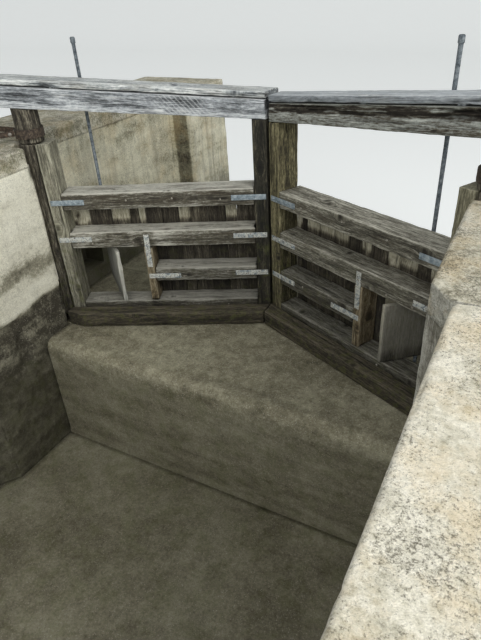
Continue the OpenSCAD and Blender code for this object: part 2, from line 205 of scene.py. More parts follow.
def new_mesh(name, points, faces, **marks):
    """A smooth mesh from points and lists of faces, with one attribute for each mark."""
    mesh = bpy.data.meshes.new(name)
    loops = np.concatenate([np.asarray(f).ravel() for f in faces])
    sizes = np.concatenate([np.full(len(f), np.shape(f)[1]) for f in faces])
    mesh.vertices.add(len(points))
    mesh.vertices.foreach_set("co", np.asarray(points, np.float32).ravel())
    mesh.loops.add(len(loops))
    mesh.loops.foreach_set("vertex_index", loops.astype(np.int32))
    mesh.polygons.add(len(sizes))
    mesh.polygons.foreach_set("loop_start", (np.cumsum(sizes) - sizes).astype(np.int32))
    mesh.polygons.foreach_set("use_smooth", np.ones(len(sizes), bool))
    mesh.update(calc_edges=True)
    for mark, values in marks.items():
        values = np.asarray(values, np.float32)
        if values.ndim == 2:
            mesh.attributes.new(mark, "FLOAT_VECTOR", "POINT").data.foreach_set("vector", values.ravel())
        else:
            mesh.attributes.new(mark, "FLOAT", "POINT").data.foreach_set("value", values)
    return mesh


def joined(parts):
    """Several (points, faces, marks) as one."""
    points, quads, triangles, marks, shift = [], [], [], {}, 0
    for part_points, part_faces, part_marks in parts:
        points.append(part_points)
        for faces in part_faces:
            faces = np.asarray(faces) + shift
            (quads if faces.shape[1] == 4 else triangles).append(faces)
        for mark, values in part_marks.items():
            marks.setdefault(mark, []).append(values)
        shift += len(part_points)
    faces = [np.concatenate(group) for group in (quads, triangles) if group]
    return np.concatenate(points), faces, {mark: np.concatenate(v) for mark, v in marks.items()}


def turned(faces):
    return [np.asarray(f)[:, ::-1] for f in faces]


def add_piece(name, mesh, materials, body, nodes=()):
    """Puts a mesh in the scene as one piece on a body of the frame."""
    piece = bpy.data.objects.new(name, mesh)
    bpy.context.scene.collection.objects.link(piece)
    for material in materials:
        mesh.materials.append(material)
    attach(piece, body)
    if nodes:
        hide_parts(*nodes)
    return piece


def body_of(node):
    for body, nodes in frame["record"]["behaviour"]["bodies"].items():
        if node in nodes:
            return body
    raise RuntimeError(f"no body carries {node}")


def dress(node, parts, *materials):
    """One piece that stands for one CAD node."""
    points, faces, marks = joined(parts)
    mesh = new_mesh(node + "_mesh", points, faces, **marks)
    return add_piece(node + "_dressed", mesh, materials, body_of(node), [node])


def ring_quads(rings, count, closed=False):
    """Quads between neighbouring rings of a stack, whose last ring may meet its first."""
    i, j = np.meshgrid(np.arange(rings if closed else rings - 1), np.arange(count), indexing="ij")
    i, j = i.ravel(), j.ravel()
    n, k = (i + 1) % rings, (j + 1) % count
    return np.stack([i * count + j, i * count + k, n * count + k, n * count + j], 1)


def tube(stack):
    """Quads between the rings of a stack, and a fan over its first and its last ring."""
    rings, count, _ = stack.shape
    points = np.concatenate([stack.reshape(-1, 3), [stack[0].mean(0), stack[-1].mean(0)]])
    j = np.arange(count)
    k = (j + 1) % count
    low = np.stack([np.full(count, rings * count), k, j], 1)
    last = (rings - 1) * count
    high = np.stack([np.full(count, rings * count + 1), last + j, last + k], 1)
    return points, [ring_quads(rings, count), np.concatenate([low, high])]


def hoop(stack):
    """A closed hoop from its section at each of its angles."""
    return stack.reshape(-1, 3), [ring_quads(*stack.shape[:2], closed=True)[:, [0, 3, 2, 1]]], {}


def plan_ring(outline, radius, step, most=0.4):
    """Points and outward normals round a counterclockwise outline whose outer corners are rounded.

    most is the share of an edge that the rounding may take up at each end."""
    outline = np.asarray(outline, float)
    ahead = np.roll(outline, -1, 0) - outline
    lengths = np.linalg.norm(ahead, axis=1)
    ahead /= lengths[:, None]
    out = np.stack([ahead[:, 1], -ahead[:, 0]], 1)
    behind, out_behind = np.roll(ahead, 1, 0), np.roll(out, 1, 0)
    turn = np.arctan2(behind[:, 0] * ahead[:, 1] - behind[:, 1] * ahead[:, 0], (behind * ahead).sum(1))
    short = np.minimum(lengths, np.roll(lengths, 1))
    radii = np.where(turn > 0.2, np.minimum(radius, most * short / np.maximum(np.tan(turn / 2), 0.1)), 0)
    cut = radii * np.tan(np.maximum(turn, 0) / 2)
    points, normals = [], []
    for k, corner in enumerate(outline):
        if radii[k] > 0:
            centre = corner - behind[k] * cut[k] - out_behind[k] * radii[k]
            first = math.atan2(out_behind[k][1], out_behind[k][0])
            for share in (0.25, 0.5, 0.75):
                angle = first + share * turn[k]
                normals.append(np.array([math.cos(angle), math.sin(angle)]))
                points.append(centre + radii[k] * normals[-1])
        after = (k + 1) % len(outline)
        start, stop = corner + ahead[k] * cut[k], outline[after] - ahead[k] * cut[after]
        count = max(1, round(np.linalg.norm(stop - start) / step))
        for share in np.linspace(0, 1, count + 1)[:count if radii[after] == 0 else count + 1]:
            points.append(start + (stop - start) * share)
            normal = out[k] + out_behind[k] if share == 0 and radii[k] == 0 else out[k]
            normals.append(normal / np.linalg.norm(normal))
    return np.array(points), np.array(normals)


def rounded_ring(low, high, radius, step):
    """Points and outward normals round a rectangle with rounded corners, counterclockwise."""
    corners = [(low[0], low[1]), (high[0], low[1]), (high[0], high[1]), (low[0], high[1])]
    return plan_ring(corners, radius, step, 0.5)


@dataclass
class Wear:
    """How a timber has weathered: sizes in metres, and cracks and knots counted on each long face.

    arris is how much paler its edges are. rot and tone give extra depth and extra tone from the place along
    the timber, the two places across it and the outward normal."""
    ridge: float = 0.0015
    swell: float = 0.002
    edge: float = 0.004
    checks: int = 3
    check_w: float = 0.007
    check_d: float = 0.016
    knots: int = 1
    arris: float = 0.12
    rot: object = None
    tone: object = None


LONG_FACES = ((1, 0), (-1, 0), (0, 1), (0, -1))


def knot_marks(t, a, b, na, nb, low, high, wear, seed):
    """Knots of 14 to 32 mm radius: how far the grain swings aside for them, and how dark they are."""
    rng = np.random.default_rng(seed + 501)
    aside, dark = np.zeros(t.shape + (2,)), np.zeros_like(t)
    for fa, fb in LONG_FACES:
        facing = step_up(na * fa + nb * fb, 0.7, 0.95)
        axis = 2 if fa else 1
        across = b if fa else a
        for _ in range(wear.knots):
            run = t - rng.uniform(low[0], high[0])
            off = across - rng.uniform(low[axis], high[axis])
            radius = rng.uniform(0.014, 0.032)
            swell = (1.7 * radius) ** 2 * np.exp(-(run / (2.4 * radius)) ** 2)
            bent = np.sign(off) * np.sqrt(np.maximum(off ** 2 - swell, 0))
            aside[..., axis - 1] += (bent - off) * facing
            dark = np.maximum(dark, facing * np.exp(-1.4 * (off ** 2 + run ** 2) / radius ** 2))
    return aside, dark


def crack_marks(t, a, b, na, nb, low, high, wear, seed):
    """Depth of the drying cracks, from 0 to 1, on the four long faces of a timber."""
    rng = np.random.default_rng(seed)
    marks = np.zeros_like(t)
    for face, (fa, fb) in enumerate(LONG_FACES):
        facing = step_up(na * fa + nb * fb, 0.8, 0.98)
        across = b if fa else a
        axis = 2 if fa else 1
        width = high[axis] - low[axis]
        for crack in range(wear.checks):
            middle = rng.uniform(low[axis] + 0.12 * width, high[axis] - 0.12 * width)
            centre = rng.uniform(low[0], high[0])
            half = rng.uniform(0.15, 0.8)
            bold = rng.uniform(0.35, 1.0)
            wander = (layered(t * 1.6, crack * 7.3, face * 3.1, seed, 3) - 0.5) * 0.09
            fade = np.clip(1 - ((t - centre) / half) ** 2, 0, 1)
            half_width = wear.check_w * (0.4 + 0.6 * bold) * (0.5 + 0.5 * fade)
            groove = np.clip(1 - np.abs(across - middle - wander) / half_width, 0, 1)
            marks = np.maximum(marks, groove * bold * np.sqrt(fade) * facing)
    return marks


def timber(low, high, along, wear, seed, step=0.011, station=0.03, radius=0.006, start=None, stop=None,
           ring=None):
    """A sawn and weathered timber between two corners, with its grain along one axis.

    start and stop give the place of its end faces from the two other coordinates. Everything is worn
    inwards, so that it stays within its corners."""
    axes = [along, (along + 1) % 3, (along + 2) % 3]
    low, high = np.asarray(low, float)[axes], np.asarray(high, float)[axes]
    ring, normals = ring or rounded_ring(low[1:], high[1:], radius, step)
    count = max(3, round((high[0] - low[0]) / station))
    r = radius
    cap = [(0, 0, 0.06), (0, 0, 0.3), (0, 0, 0.55), (0, 0, 0.8)]
    edge = [(0, r, 1), (0.3 * r, 0.3 * r, 1), (r, 0, 1)]
    shares = np.linspace(0, 1, count + 1)[1:-1]
    rows = [(0, d, inset, scale, 1) for d, inset, scale in cap + edge]
    rows += [(share, 0, 0, 1, 0) for share in shares]
    rows += [(1, -d, inset, scale, -1) for d, inset, scale in (cap + edge)[::-1]]
    share, offset, inset, scale, end = (np.array(column, float)[:, None] for column in zip(*rows))
    centre = (low[1:] + high[1:]) / 2
    na, nb = normals[:, 0][None], normals[:, 1][None]
    a = centre[0] + (ring[:, 0][None] - centre[0]) * scale - na * inset
    b = centre[1] + (ring[:, 1][None] - centre[1]) * scale - nb * inset
    t0 = start(a, b) if start else low[0] + 0 * a
    t1 = stop(a, b) if stop else high[0] + 0 * a
    t = t0 + (t1 - t0) * share + offset
    na, nb = na + 0 * a, nb + 0 * b
    aside, knot = knot_marks(t, a, b, na, nb, low, high, wear, seed)
    grain = np.stack([t, a + aside[..., 0], b + aside[..., 1]], -1)
    grain = grain + np.array([3.71, 1.37, 2.11]) * (seed % 17)

    on_side = np.where(scale < 1, 0, 1.0)
    at_end = np.abs(end) * np.where(offset == r, 0, 1)
    deep = wear.ridge * layered(t * 1.3, a * 42, b * 42, seed, 3)
    deep = deep + wear.swell * layered(t * 1.1, a * 4, b * 4, seed + 5, 2)
    gap = np.minimum(np.minimum(a - low[1], high[1] - a) ** 2 + np.minimum(b - low[2], high[2] - b) ** 2, 1)
    corner = np.exp(-np.sqrt(gap) / 0.014)
    bite = step_up(layered(t * 7, a * 6, b * 6, seed + 9, 3), 0.42, 0.75)
    deep = deep + wear.edge * corner * (0.35 + bite * 1.8)
    check = crack_marks(t, a, b, na, nb, low, high, wear, seed)
    decay = wear.rot(t, a, b, na, nb) if wear.rot else 0 * t
    deep = deep + wear.check_d * check + decay
    deep = np.minimum(deep, 0.4 * (high[1:] - low[1:]).min()) * on_side
    radial = layered(a * 9, b * 9, 0.0, seed + 13, 3)
    end_deep = (wear.swell + 1.5 * wear.ridge) * radial
    end_check = step_up(noise(np.arctan2(b - centre[1], a - centre[0]) * 2.2, seed * 1.7), 0.66, 0.8)
    end_check = end_check * step_up(scale * 1.0 - 0.05, 0.1, 0.7) * np.abs(end)
    end_deep = end_deep + 0.006 * end_check
    stack = np.empty(t.shape + (3,))
    stack[..., axes[0]] = t + np.sign(end) * end_deep * at_end
    stack[..., axes[1]] = a - na * deep
    stack[..., axes[2]] = b - nb * deep
    points, faces = tube(stack)
    # Dark marks: the cracks, and painted shade in the hollows that the rot has eaten
    dark = np.clip(np.maximum(check, 0.7 * end_check * at_end) + decay * 9, 0, 1)
    tone = (wear.tone(t, a, b, na, nb) if wear.tone else 0 * t) + wear.arris * corner * on_side - 0.5 * knot
    marks = {}
    for mark, values in (("grain", grain), ("check", dark), ("tone", tone),
                         ("endgrain", np.abs(end) * np.where(scale < 1, 1, 0) + 0 * t)):
        flat = values.reshape(-1, 3) if mark == "grain" else values.ravel()
        ends = np.array([values[0].mean(0), values[-1].mean(0)])
        marks[mark] = np.concatenate([flat, ends.reshape(2, -1) if mark == "grain" else ends])
    return points, faces, marks


# Materials


# A Mix node's settings: its input 7 lies over its input 6 by the share on its input 0
OVER = {"data_type": "RGBA", "output": 2}


def add(tree, kind, inputs=None, stops=None, output=0, **settings):
    """Adds a shader node with its settings, and gives one of its outputs where it has any.

    An input is a value, an sRGB hex colour or the socket that feeds it."""
    node = tree.nodes.new("ShaderNode" + kind)
    for key, value in settings.items():
        setattr(node, key, value)
    for key, value in (inputs or {}).items():
        if isinstance(value, bpy.types.NodeSocket):
            tree.links.new(value, node.inputs[key])
        else:
            node.inputs[key].default_value = hex_colour(value) if isinstance(value, str) else value
    if stops:
        ramp = node.color_ramp
        while len(ramp.elements) < len(stops):
            ramp.elements.new(0.5)
        for element, (place, colour) in zip(ramp.elements, stops):
            element.position = place
            element.color = hex_colour(colour)
    return node.outputs[output] if node.outputs else node


def new_material(name):
    material = bpy.data.materials.new(name)
    material.use_nodes = True
    material.node_tree.nodes.clear()
    return material, material.node_tree


def finish_material(material, colour, roughness, bump, distance, strength, metallic=0.0, specular=0.5,
                    glow=None):
    """The shader and its bump, with the depth of the bump in metres; glow gives its emission."""
    tree = material.node_tree
    bumped = add(tree, "Bump", {"Height": bump, "Distance": distance, "Strength": strength})
    shader = add(tree, "BsdfPrincipled", {
        "Base Color": colour, "Roughness": roughness, "Metallic": metallic, "Specular IOR Level": specular,
        "Normal": bumped, **(glow or {})})
    add(tree, "OutputMaterial", {"Surface": shader})
    return material


def stained(tree, colour, stain, vector, pattern, span, most=1.0, where=None):
    """A colour with a stain over it, where a noise passes through a span.

    pattern is the noise's scale, detail and roughness."""
    patch = add(tree, "TexNoise", dict(zip(("Vector", "Scale", "Detail", "Roughness"), (vector, *pattern))))
    share = add(tree, "MapRange", {"Value": patch, "From Min": span[0], "From Max": span[1], "To Max": most})
    if where is not None:
        share = add(tree, "Math", {0: share, 1: where}, operation="MULTIPLY")
    return add(tree, "Mix", {0: share, 6: colour, 7: stain}, **OVER)


def flecked(tree, colour, fleck, low, high, span=(0.0, 1.0)):
    """A colour that is darker and lighter by a factor between two, as a value passes through a span."""
    shade = add(tree, "MapRange", {"Value": fleck, "From Min": span[0], "From Max": span[1], "To Min": low,
                                   "To Max": high})
    shade = add(tree, "CombineColor", {0: shade, 1: shade, 2: shade})
    return add(tree, "Mix", {0: 1.0, 6: colour, 7: shade}, blend_type="MULTIPLY", **OVER)


def weathered_timber(name, shades, stain="#3a3020", stain_share=0.35, streaks=1.0, top=0.2, wet=0.0,
                     algae=0.0, lines=0.6, sawn=None):
    """Sawn timber left grey by rain and sun: bands and streaks along the grain, black cracks and painted shade in
    rot hollows.

    shades are five colours from the darkest band to the most bleached. sawn gives where along x the marks of
    the saw have stayed, and over what half length."""
    material, tree = new_material(name)
    grain = add(tree, "Attribute", output="Vector", attribute_name="grain")
    check, endgrain, tone = (add(tree, "Attribute", output="Fac", attribute_name=mark)
                             for mark in ("check", "endgrain", "tone"))
    # Bands of about 120 mm, growth rings 25 mm apart, fibres of 8 mm (the real ones are 1 mm), and dirt
    layers = (((1.0, 8.0, 8.0), 0.9), ((2.0, 38.0, 38.0), 1.3), ((9.0, 120.0, 120.0), 1.7),
              ((26.0, 60.0, 60.0), 0.9))
    middle = 0.5 - 0.5 * sum(weight for _, weight in layers) * streaks
    value = add(tree, "Math", {0: tone, 1: middle})
    if top:
        # Rain and sun bleach the upper faces
        level = add(tree, "SeparateXYZ", {0: add(tree, "NewGeometry", output="Normal")}, output=UP)
        lit = add(tree, "MapRange", {"Value": level, "From Min": 0.55, "From Max": 0.9, "To Max": top})
        value = add(tree, "Math", {0: value, 1: lit})
    bands = []
    for scale, weight in layers:
        at = add(tree, "Mapping", {"Vector": grain, "Scale": scale})
        bands.append(add(tree, "TexNoise", {"Vector": at, "Scale": 1.0, "Detail": 6.0, "Roughness": 0.7,
                                            "Distortion": 0.25}))
        value = add(tree, "Math", {0: bands[-1], 1: weight * streaks, 2: value}, operation="MULTIPLY_ADD")
    colour = add(tree, "ValToRGB", {"Fac": value}, list(zip((0.08, 0.33, 0.5, 0.7, 0.95), shades)))
    patch_at = add(tree, "Mapping", {"Vector": grain, "Scale": (2.2, 12.0, 12.0)})
    patch = add(tree, "TexNoise", {"Vector": patch_at, "Scale": 1.0, "Detail": 4.0, "Roughness": 0.6})
    blot = add(tree, "MapRange", {"Value": patch, "From Min": 0.52, "From Max": 0.66, "To Max": stain_share})
    colour = add(tree, "Mix", {0: blot, 6: colour, 7: stain}, **OVER)
    if sawn:
        # Slanting marks of the saw, 32 mm apart, bleached on their crests
        spot = add(tree, "TexCoord", output="Object")
        slant = add(tree, "Mapping", {"Vector": spot, "Rotation": (0.0, math.radians(40), 0.0)})
        crests = add(tree, "TexWave", {"Vector": slant, "Scale": 9.8, "Distortion": 2.6, "Detail": 4.0,
                                       "Detail Scale": 3.0, "Detail Roughness": 0.8}, output="Fac")
        crests = add(tree, "MapRange", {"Value": crests, "From Min": 0.6, "From Max": 0.95, "To Max": 0.62})
        away = add(tree, "Math", {0: add(tree, "SeparateXYZ", {0: spot}), 1: sawn[0]}, operation="SUBTRACT")
        away = add(tree, "Math", {0: away}, operation="ABSOLUTE")
        here = add(tree, "MapRange", {"Value": away, "From Min": sawn[1], "From Max": 0.6 * sawn[1]})
        for share in (here, patch):
            crests = add(tree, "Math", {0: crests, 1: share}, operation="MULTIPLY")
        colour = add(tree, "Mix", {0: crests, 6: colour, 7: shades[4]}, **OVER)
    # Hair cracks follow the grain
    line_at = add(tree, "Mapping", {"Vector": grain, "Scale": (1.4, 85.0, 85.0)})
    colour = stained(tree, colour, "#1b1813", line_at, (1.0, 3.0, 0.55), (0.59, 0.65), lines)
    ends = add(tree, "Math", {0: endgrain, 1: 0.35}, operation="MULTIPLY")
    colour = add(tree, "Mix", {0: ends, 6: colour, 7: shades[1]}, **OVER)
    if wet or algae:
        # The foot of the leaf stays wet, and algae grow from there up
        place = add(tree, "NewGeometry", output="Position")
        height = add(tree, "SeparateXYZ", {0: place}, output=UP)
        soft = add(tree, "Math", {0: patch, 1: 0.5, 2: height}, operation="MULTIPLY_ADD")
        low = add(tree, "MapRange", {"Value": soft, "From Min": 3.1, "From Max": 2.5, "To Max": wet})
        colour = add(tree, "Mix", {0: low, 6: colour, 7: "#1c1a15"}, **OVER)
        band = add(tree, "MapRange", {"Value": soft, "From Min": 3.4, "From Max": 2.7, "To Max": algae})
        colour = stained(tree, colour, "#55582c", place, (14.0, 5.0, 0.7), (0.5, 0.66), where=band)
    # Black in the cracks, and painted shade in the rot's hollows
    colour = add(tree, "Mix", {0: check, 6: colour, 7: "#0d0b09"}, **OVER)
    relief = add(tree, "Math", {0: bands[1], 1: 1.6, 2: bands[2]}, operation="MULTIPLY_ADD")
    rough = add(tree, "MapRange", {"Value": bands[2], "To Min": 0.74, "To Max": 0.95})
    return finish_material(material, colour, rough, relief, 0.0025, 0.9, specular=0.35)


def old_concrete(name, shades, upright=None, stone="#8f8a7c", stone_share=0.35, streaks=0.0, chalk=0.0,
                 damp=0.0, damp_top=2.0, algae=0.0, speck=0.5, moss=0.0, tan=0.0):
    """Cast concrete with its skin worn off: sandy matrix, rounded aggregate 8 to 14 mm, stains and lichen.

    shades are the pale, middle and dark colour, and upright gives those of the upright faces."""
    material, tree = new_material(name)
    place = add(tree, "TexCoord", output="Object")
    wear, tone = (add(tree, "Attribute", output="Fac", attribute_name=mark) for mark in ("wear", "tone"))
    # Lifts of the casting show as level bands
    bands_at = add(tree, "Mapping", {"Vector": place, "Scale": (0.7, 0.7, 3.2)})
    broad, mottle, cloud, sand = (
        add(tree, "TexNoise", {"Vector": at, "Scale": scale, "Detail": detail, "Roughness": rough})
        for at, scale, detail, rough in ((bands_at, 1.7, 6.0, 0.62), (place, 34.0, 6.0, 0.8),
                                         (place, 9.0, 6.0, 0.7), (place, 170.0, 3.0, 0.7)))
    share = tone
    for part, weight in ((broad, 0.36), (cloud, 0.24), (mottle, 0.4)):
        share = add(tree, "Math", {0: part, 1: weight, 2: share}, operation="MULTIPLY_ADD")
    ramps = [add(tree, "ValToRGB", {"Fac": share},
                 list(zip((0.24, 0.38, 0.47, 0.58), ("#3f3b31", *tones[::-1]))))
             for tones in (shades, upright) if tones]
    colour = ramps[0]
    if upright:
        steep = add(tree, "SeparateXYZ", {0: add(tree, "NewGeometry", output="True Normal")}, output=UP)
        steep = add(tree, "MapRange", {"Value": steep, "From Min": 0.65, "From Max": 0.3})
        colour = add(tree, "Mix", {0: steep, 6: colour, 7: ramps[1]}, **OVER)
    colour = flecked(tree, colour, sand, 0.8, 1.12, (0.3, 0.7))
    # Aggregate of about 12 mm shows where the skin is worn
    pebbles = add(tree, "TexVoronoi", {"Vector": place, "Scale": 78.0, "Randomness": 1.0}, output="Color")
    pick = add(tree, "SeparateColor", {0: pebbles})
    bare = add(tree, "Math", {0: cloud, 1: 0.6, 2: wear}, operation="MULTIPLY_ADD")
    bare = add(tree, "MapRange", {"Value": bare, "From Min": 0.3, "From Max": 0.62, "To Max": stone_share})
    seen = add(tree, "Math", {0: pick, 1: 0.55}, operation="GREATER_THAN")
    domed = add(tree, "MapRange", {"Value": pebbles.node.outputs["Distance"], "From Min": 0.5,
                                   "From Max": 0.25})
    for share in (domed, bare):
        seen = add(tree, "Math", {0: seen, 1: share}, operation="MULTIPLY")
    stones = add(tree, "ValToRGB", {"Fac": pick.node.outputs[1]},
                 [(0.0, "#5f5a50"), (0.5, stone), (1.0, "#d9d4c2")])
    colour = add(tree, "Mix", {0: seen, 6: colour, 7: stones}, **OVER)
    if tan:
        # Iron in the gravel has washed out in warm patches
        colour = stained(tree, colour, "#c6ac7a", place, (2.6, 7.0, 0.72), (0.47, 0.62), tan)
    if speck:
        # Dark lichen in spots of 3 to 12 mm
        spots = add(tree, "TexNoise", {"Vector": place, "Scale": 80.0, "Detail": 6.0, "Roughness": 0.85})
        where = add(tree, "TexNoise", {"Vector": place, "Scale": 3.2, "Detail": 3.0})
        spots = add(tree, "Math", {0: where, 1: 0.35, 2: spots}, operation="MULTIPLY_ADD")
        spots = add(tree, "MapRange", {"Value": spots, "From Min": 0.68, "From Max": 0.79, "To Max": speck})
        colour = add(tree, "Mix", {0: spots, 6: colour, 7: "#4f4b3d"}, **OVER)
    if streaks:
        # Water runs down from the coping and leaves upright stains
        run_at = add(tree, "Mapping", {"Vector": place, "Scale": (7.0, 7.0, 0.45)})
        colour = stained(tree, colour, "#4c473a", run_at, (1.0, 5.0, 0.7), (0.46, 0.66), streaks)
    if chalk:
        # Lime washed out of the concrete leaves white runs and flecks
        lime_at = add(tree, "Mapping", {"Vector": place, "Scale": (16.0, 16.0, 1.3)})
        colour = stained(tree, colour, "#dcdacd", lime_at, (1.0, 6.0, 0.75), (0.54, 0.64), chalk)
    if moss:
        colour = stained(tree, colour, "#5c5f3b", place, (11.0, 6.0, 0.75), (0.5, 0.62), moss)
    roughness = 0.9
    if damp:
        # The outer faces lie against the bank and stay clear of the water
        out = add(tree, "Math", {0: add(tree, "SeparateXYZ", {0: place})}, operation="ABSOLUTE")
        out = add(tree, "MapRange", {"Value": out, "From Min": 3.5, "From Max": 3.6, "To Max": 9.0})
        level = add(tree, "SeparateXYZ", {0: place}, output=UP)
        edge = add(tree, "Math", {0: cloud, 1: 0.5, 2: level}, operation="MULTIPLY_ADD")
        edge = add(tree, "Math", {0: edge, 1: out})
        wet = add(tree, "MapRange", {"Value": edge, "From Min": damp_top + 0.45, "From Max": damp_top + 0.1,
                                     "To Max": damp})
        colour = add(tree, "Mix", {0: wet, 6: colour, 7: "#3a372b"}, **OVER)
        colour = stained(tree, colour, "#4d5228", place, (6.0, 6.0, 0.7), (0.47, 0.62), algae, wet)
        roughness = add(tree, "MapRange", {"Value": wet, "To Min": 0.92, "To Max": 0.45})
    lump = add(tree, "Math", {0: seen, 1: 0.8, 2: sand}, operation="MULTIPLY_ADD")
    lump = add(tree, "Math", {0: cloud, 1: 1.5, 2: lump}, operation="MULTIPLY_ADD")
    return finish_material(material, colour, roughness, lump, 0.004, 0.8, specular=0.3)


def zinc_coated_steel(name):
    """Hot-dip galvanised plate gone dull: blue-grey spangle, white bloom and first rust at the edges."""
    material, tree = new_material(name)
    place = add(tree, "TexCoord", output="Object")
    cloud = add(tree, "TexNoise", {"Vector": place, "Scale": 24.0, "Detail": 5.0, "Roughness": 0.65})
    colour = add(tree, "ValToRGB", {"Fac": cloud}, [(0.36, "#77858c"), (0.5, "#95a1a7"), (0.66, "#b9c1c4")])
    # Spangle is 6 to 12 mm across
    cells = add(tree, "TexVoronoi", {"Vector": place, "Scale": 95.0, "Randomness": 1.0}, output="Color")
    colour = flecked(tree, colour, add(tree, "SeparateColor", {0: cells}), 0.86, 1.1)
    # Where the water reaches them, white zinc oxide and rust cover the plates
    height = add(tree, "SeparateXYZ", {0: place}, output=UP)
    splash = add(tree, "MapRange", {"Value": height, "From Min": 3.1, "From Max": 3.0})
    bloom = add(tree, "MapRange", {"Value": cloud, "From Min": 0.38, "From Max": 0.54})
    bloom = add(tree, "Math", {0: bloom, 1: splash}, operation="MULTIPLY")
    colour = add(tree, "Mix", {0: bloom, 6: colour, 7: "#cdcec6"}, **OVER)
    rust = add(tree, "TexNoise", {"Vector": place, "Scale": 75.0, "Detail": 5.0, "Roughness": 0.7})
    rust = add(tree, "Math", {0: splash, 1: 0.07, 2: rust}, operation="MULTIPLY_ADD")
    rust = add(tree, "MapRange", {"Value": rust, "From Min": 0.62, "From Max": 0.66, "To Max": 0.9})
    colour = add(tree, "Mix", {0: rust, 6: colour, 7: "#5b4636"}, **OVER)
    rough = add(tree, "MapRange", {"Value": cloud, "To Min": 0.5, "To Max": 0.72})
    return finish_material(material, colour, rough, cloud, 0.0012, 0.6, metallic=0.55)


def rusted_iron(name, dark, middle, light, scale=38.0, metallic=0.25):
    """Forged or cast iron under a crust of rust: dark brown scale, orange where it flakes."""
    material, tree = new_material(name)
    place = add(tree, "TexCoord", output="Object")
    crust = add(tree, "TexNoise", {"Vector": place, "Scale": scale, "Detail": 8.0, "Roughness": 0.7})
    fine = add(tree, "TexNoise", {"Vector": place, "Scale": 190.0, "Detail": 4.0, "Roughness": 0.7})
    colour = add(tree, "ValToRGB", {"Fac": crust}, [(0.36, dark), (0.5, middle), (0.66, light)])
    colour = flecked(tree, colour, fine, 0.75, 1.15, (0.3, 0.7))
    lump = add(tree, "Math", {0: crust, 1: 1.4, 2: fine}, operation="MULTIPLY_ADD")
    return finish_material(material, colour, 0.82, lump, 0.0025, 0.9, metallic=metallic)


def studio_paper(name, colour, strength):
    """Matt paper of the studio floor and backdrop, which glows for the camera and in reflections alone."""
    material, tree = new_material(name)
    fleck = add(tree, "TexNoise", {"Vector": add(tree, "TexCoord", output="Object"), "Scale": 3.0})
    path = add(tree, "LightPath").node.outputs
    seen = add(tree, "Math", {0: path["Is Camera Ray"], 1: path["Is Glossy Ray"]}, operation="MAXIMUM")
    glow = add(tree, "Math", {0: seen, 1: strength}, operation="MULTIPLY")
    return finish_material(material, colour, 0.95, fleck, 0.0005, 0.1, specular=0.1,
                           glow={"Emission Color": colour, "Emission Strength": glow})


# Concrete


def resampled(outline, step_at, *others):
    """Points along a closed outline, with a step that step_at gives for the middle of each edge.

    Other outlines with the same number of corners are divided in the same way."""
    every = np.array([outline, *others]).swapaxes(0, 1)
    rings = []
    for p, q in zip(every, np.roll(every, -1, 0)):
        count = max(1, math.ceil(np.linalg.norm(q[0] - p[0]) / step_at((p[0] + q[0]) / 2, q[0] - p[0])))
        rings += [p + (q - p) * k / count for k in range(count)]
    rings = np.array(rings).swapaxes(0, 1)
    return rings if others else rings[0]


def outward(outline):
    """How far each point of a closed counterclockwise outline moves when the outline grows by one unit."""
    ahead = np.roll(outline, -1, 0) - outline
    ahead /= np.linalg.norm(ahead, axis=1)[:, None]
    behind = np.roll(ahead, 1, 0)
    out = np.stack([ahead[:, 1] + behind[:, 1], -ahead[:, 0] - behind[:, 0]], 1)
    out /= np.linalg.norm(out, axis=1)[:, None]
    reach = 1 / np.maximum(0.5, out[:, 0] * ahead[:, 1] - out[:, 1] * ahead[:, 0])
    return out * reach[:, None]


def in_outline(points, outline):
    inside = np.zeros(len(points), bool)
    for (x0, y0), (x1, y1) in zip(outline, np.roll(outline, -1, 0)):
        crosses = (y0 > points[:, 1]) != (y1 > points[:, 1])
        with np.errstate(divide="ignore", invalid="ignore"):
            at = (x1 - x0) * (points[:, 1] - y0) / (y1 - y0) + x0
        inside ^= crosses & (points[:, 0] < at)
    return inside


def capped(ring, height, step, down=False):
    """A level face inside a ring of points, as extra points and triangles that use the ring's own points."""
    extra = np.empty((0, 2))
    if step:
        low, high = ring.min(0), ring.max(0)
        x, y = np.meshgrid(np.arange(low[0], high[0], step), np.arange(low[1], high[1], step), indexing="ij")
        grid = np.stack([x.ravel(), y.ravel()], 1)
        shift = [noise(grid[:, 0] * 91, grid[:, 1] * 91, level) - 0.5 for level in (0.5, 7.5)]
        grid += np.stack(shift, 1) * 0.5 * step
        grid = grid[in_outline(grid, ring)]
        near = np.full(len(grid), 9.0)
        for p, q in zip(ring, np.roll(ring, -1, 0)):
            d = q - p
            share = np.clip(((grid - p) @ d) / max(d @ d, 1e-12), 0, 1)
            near = np.minimum(near, np.linalg.norm(grid - p - share[:, None] * d, axis=1))
        extra = grid[near > 0.55 * step]
    count = len(ring)
    every = np.concatenate([ring, extra])
    edges = [(k, (k + 1) % count) for k in range(count)]
    found = delaunay_2d_cdt([Vector(p) for p in every], edges, [list(range(count))], 1, 1e-7)
    if len(found[0]) != len(every):
        raise RuntimeError("the outline crosses itself")
    triangles = np.array([f for f in found[2]])
    corner = every[triangles]
    turn = np.cross(corner[:, 1] - corner[:, 0], corner[:, 2] - corner[:, 0])
    wrong = (turn > 0) if down else (turn < 0)
    triangles[wrong] = triangles[wrong][:, ::-1]
    return np.column_stack([extra, np.full(len(extra), height)]), triangles


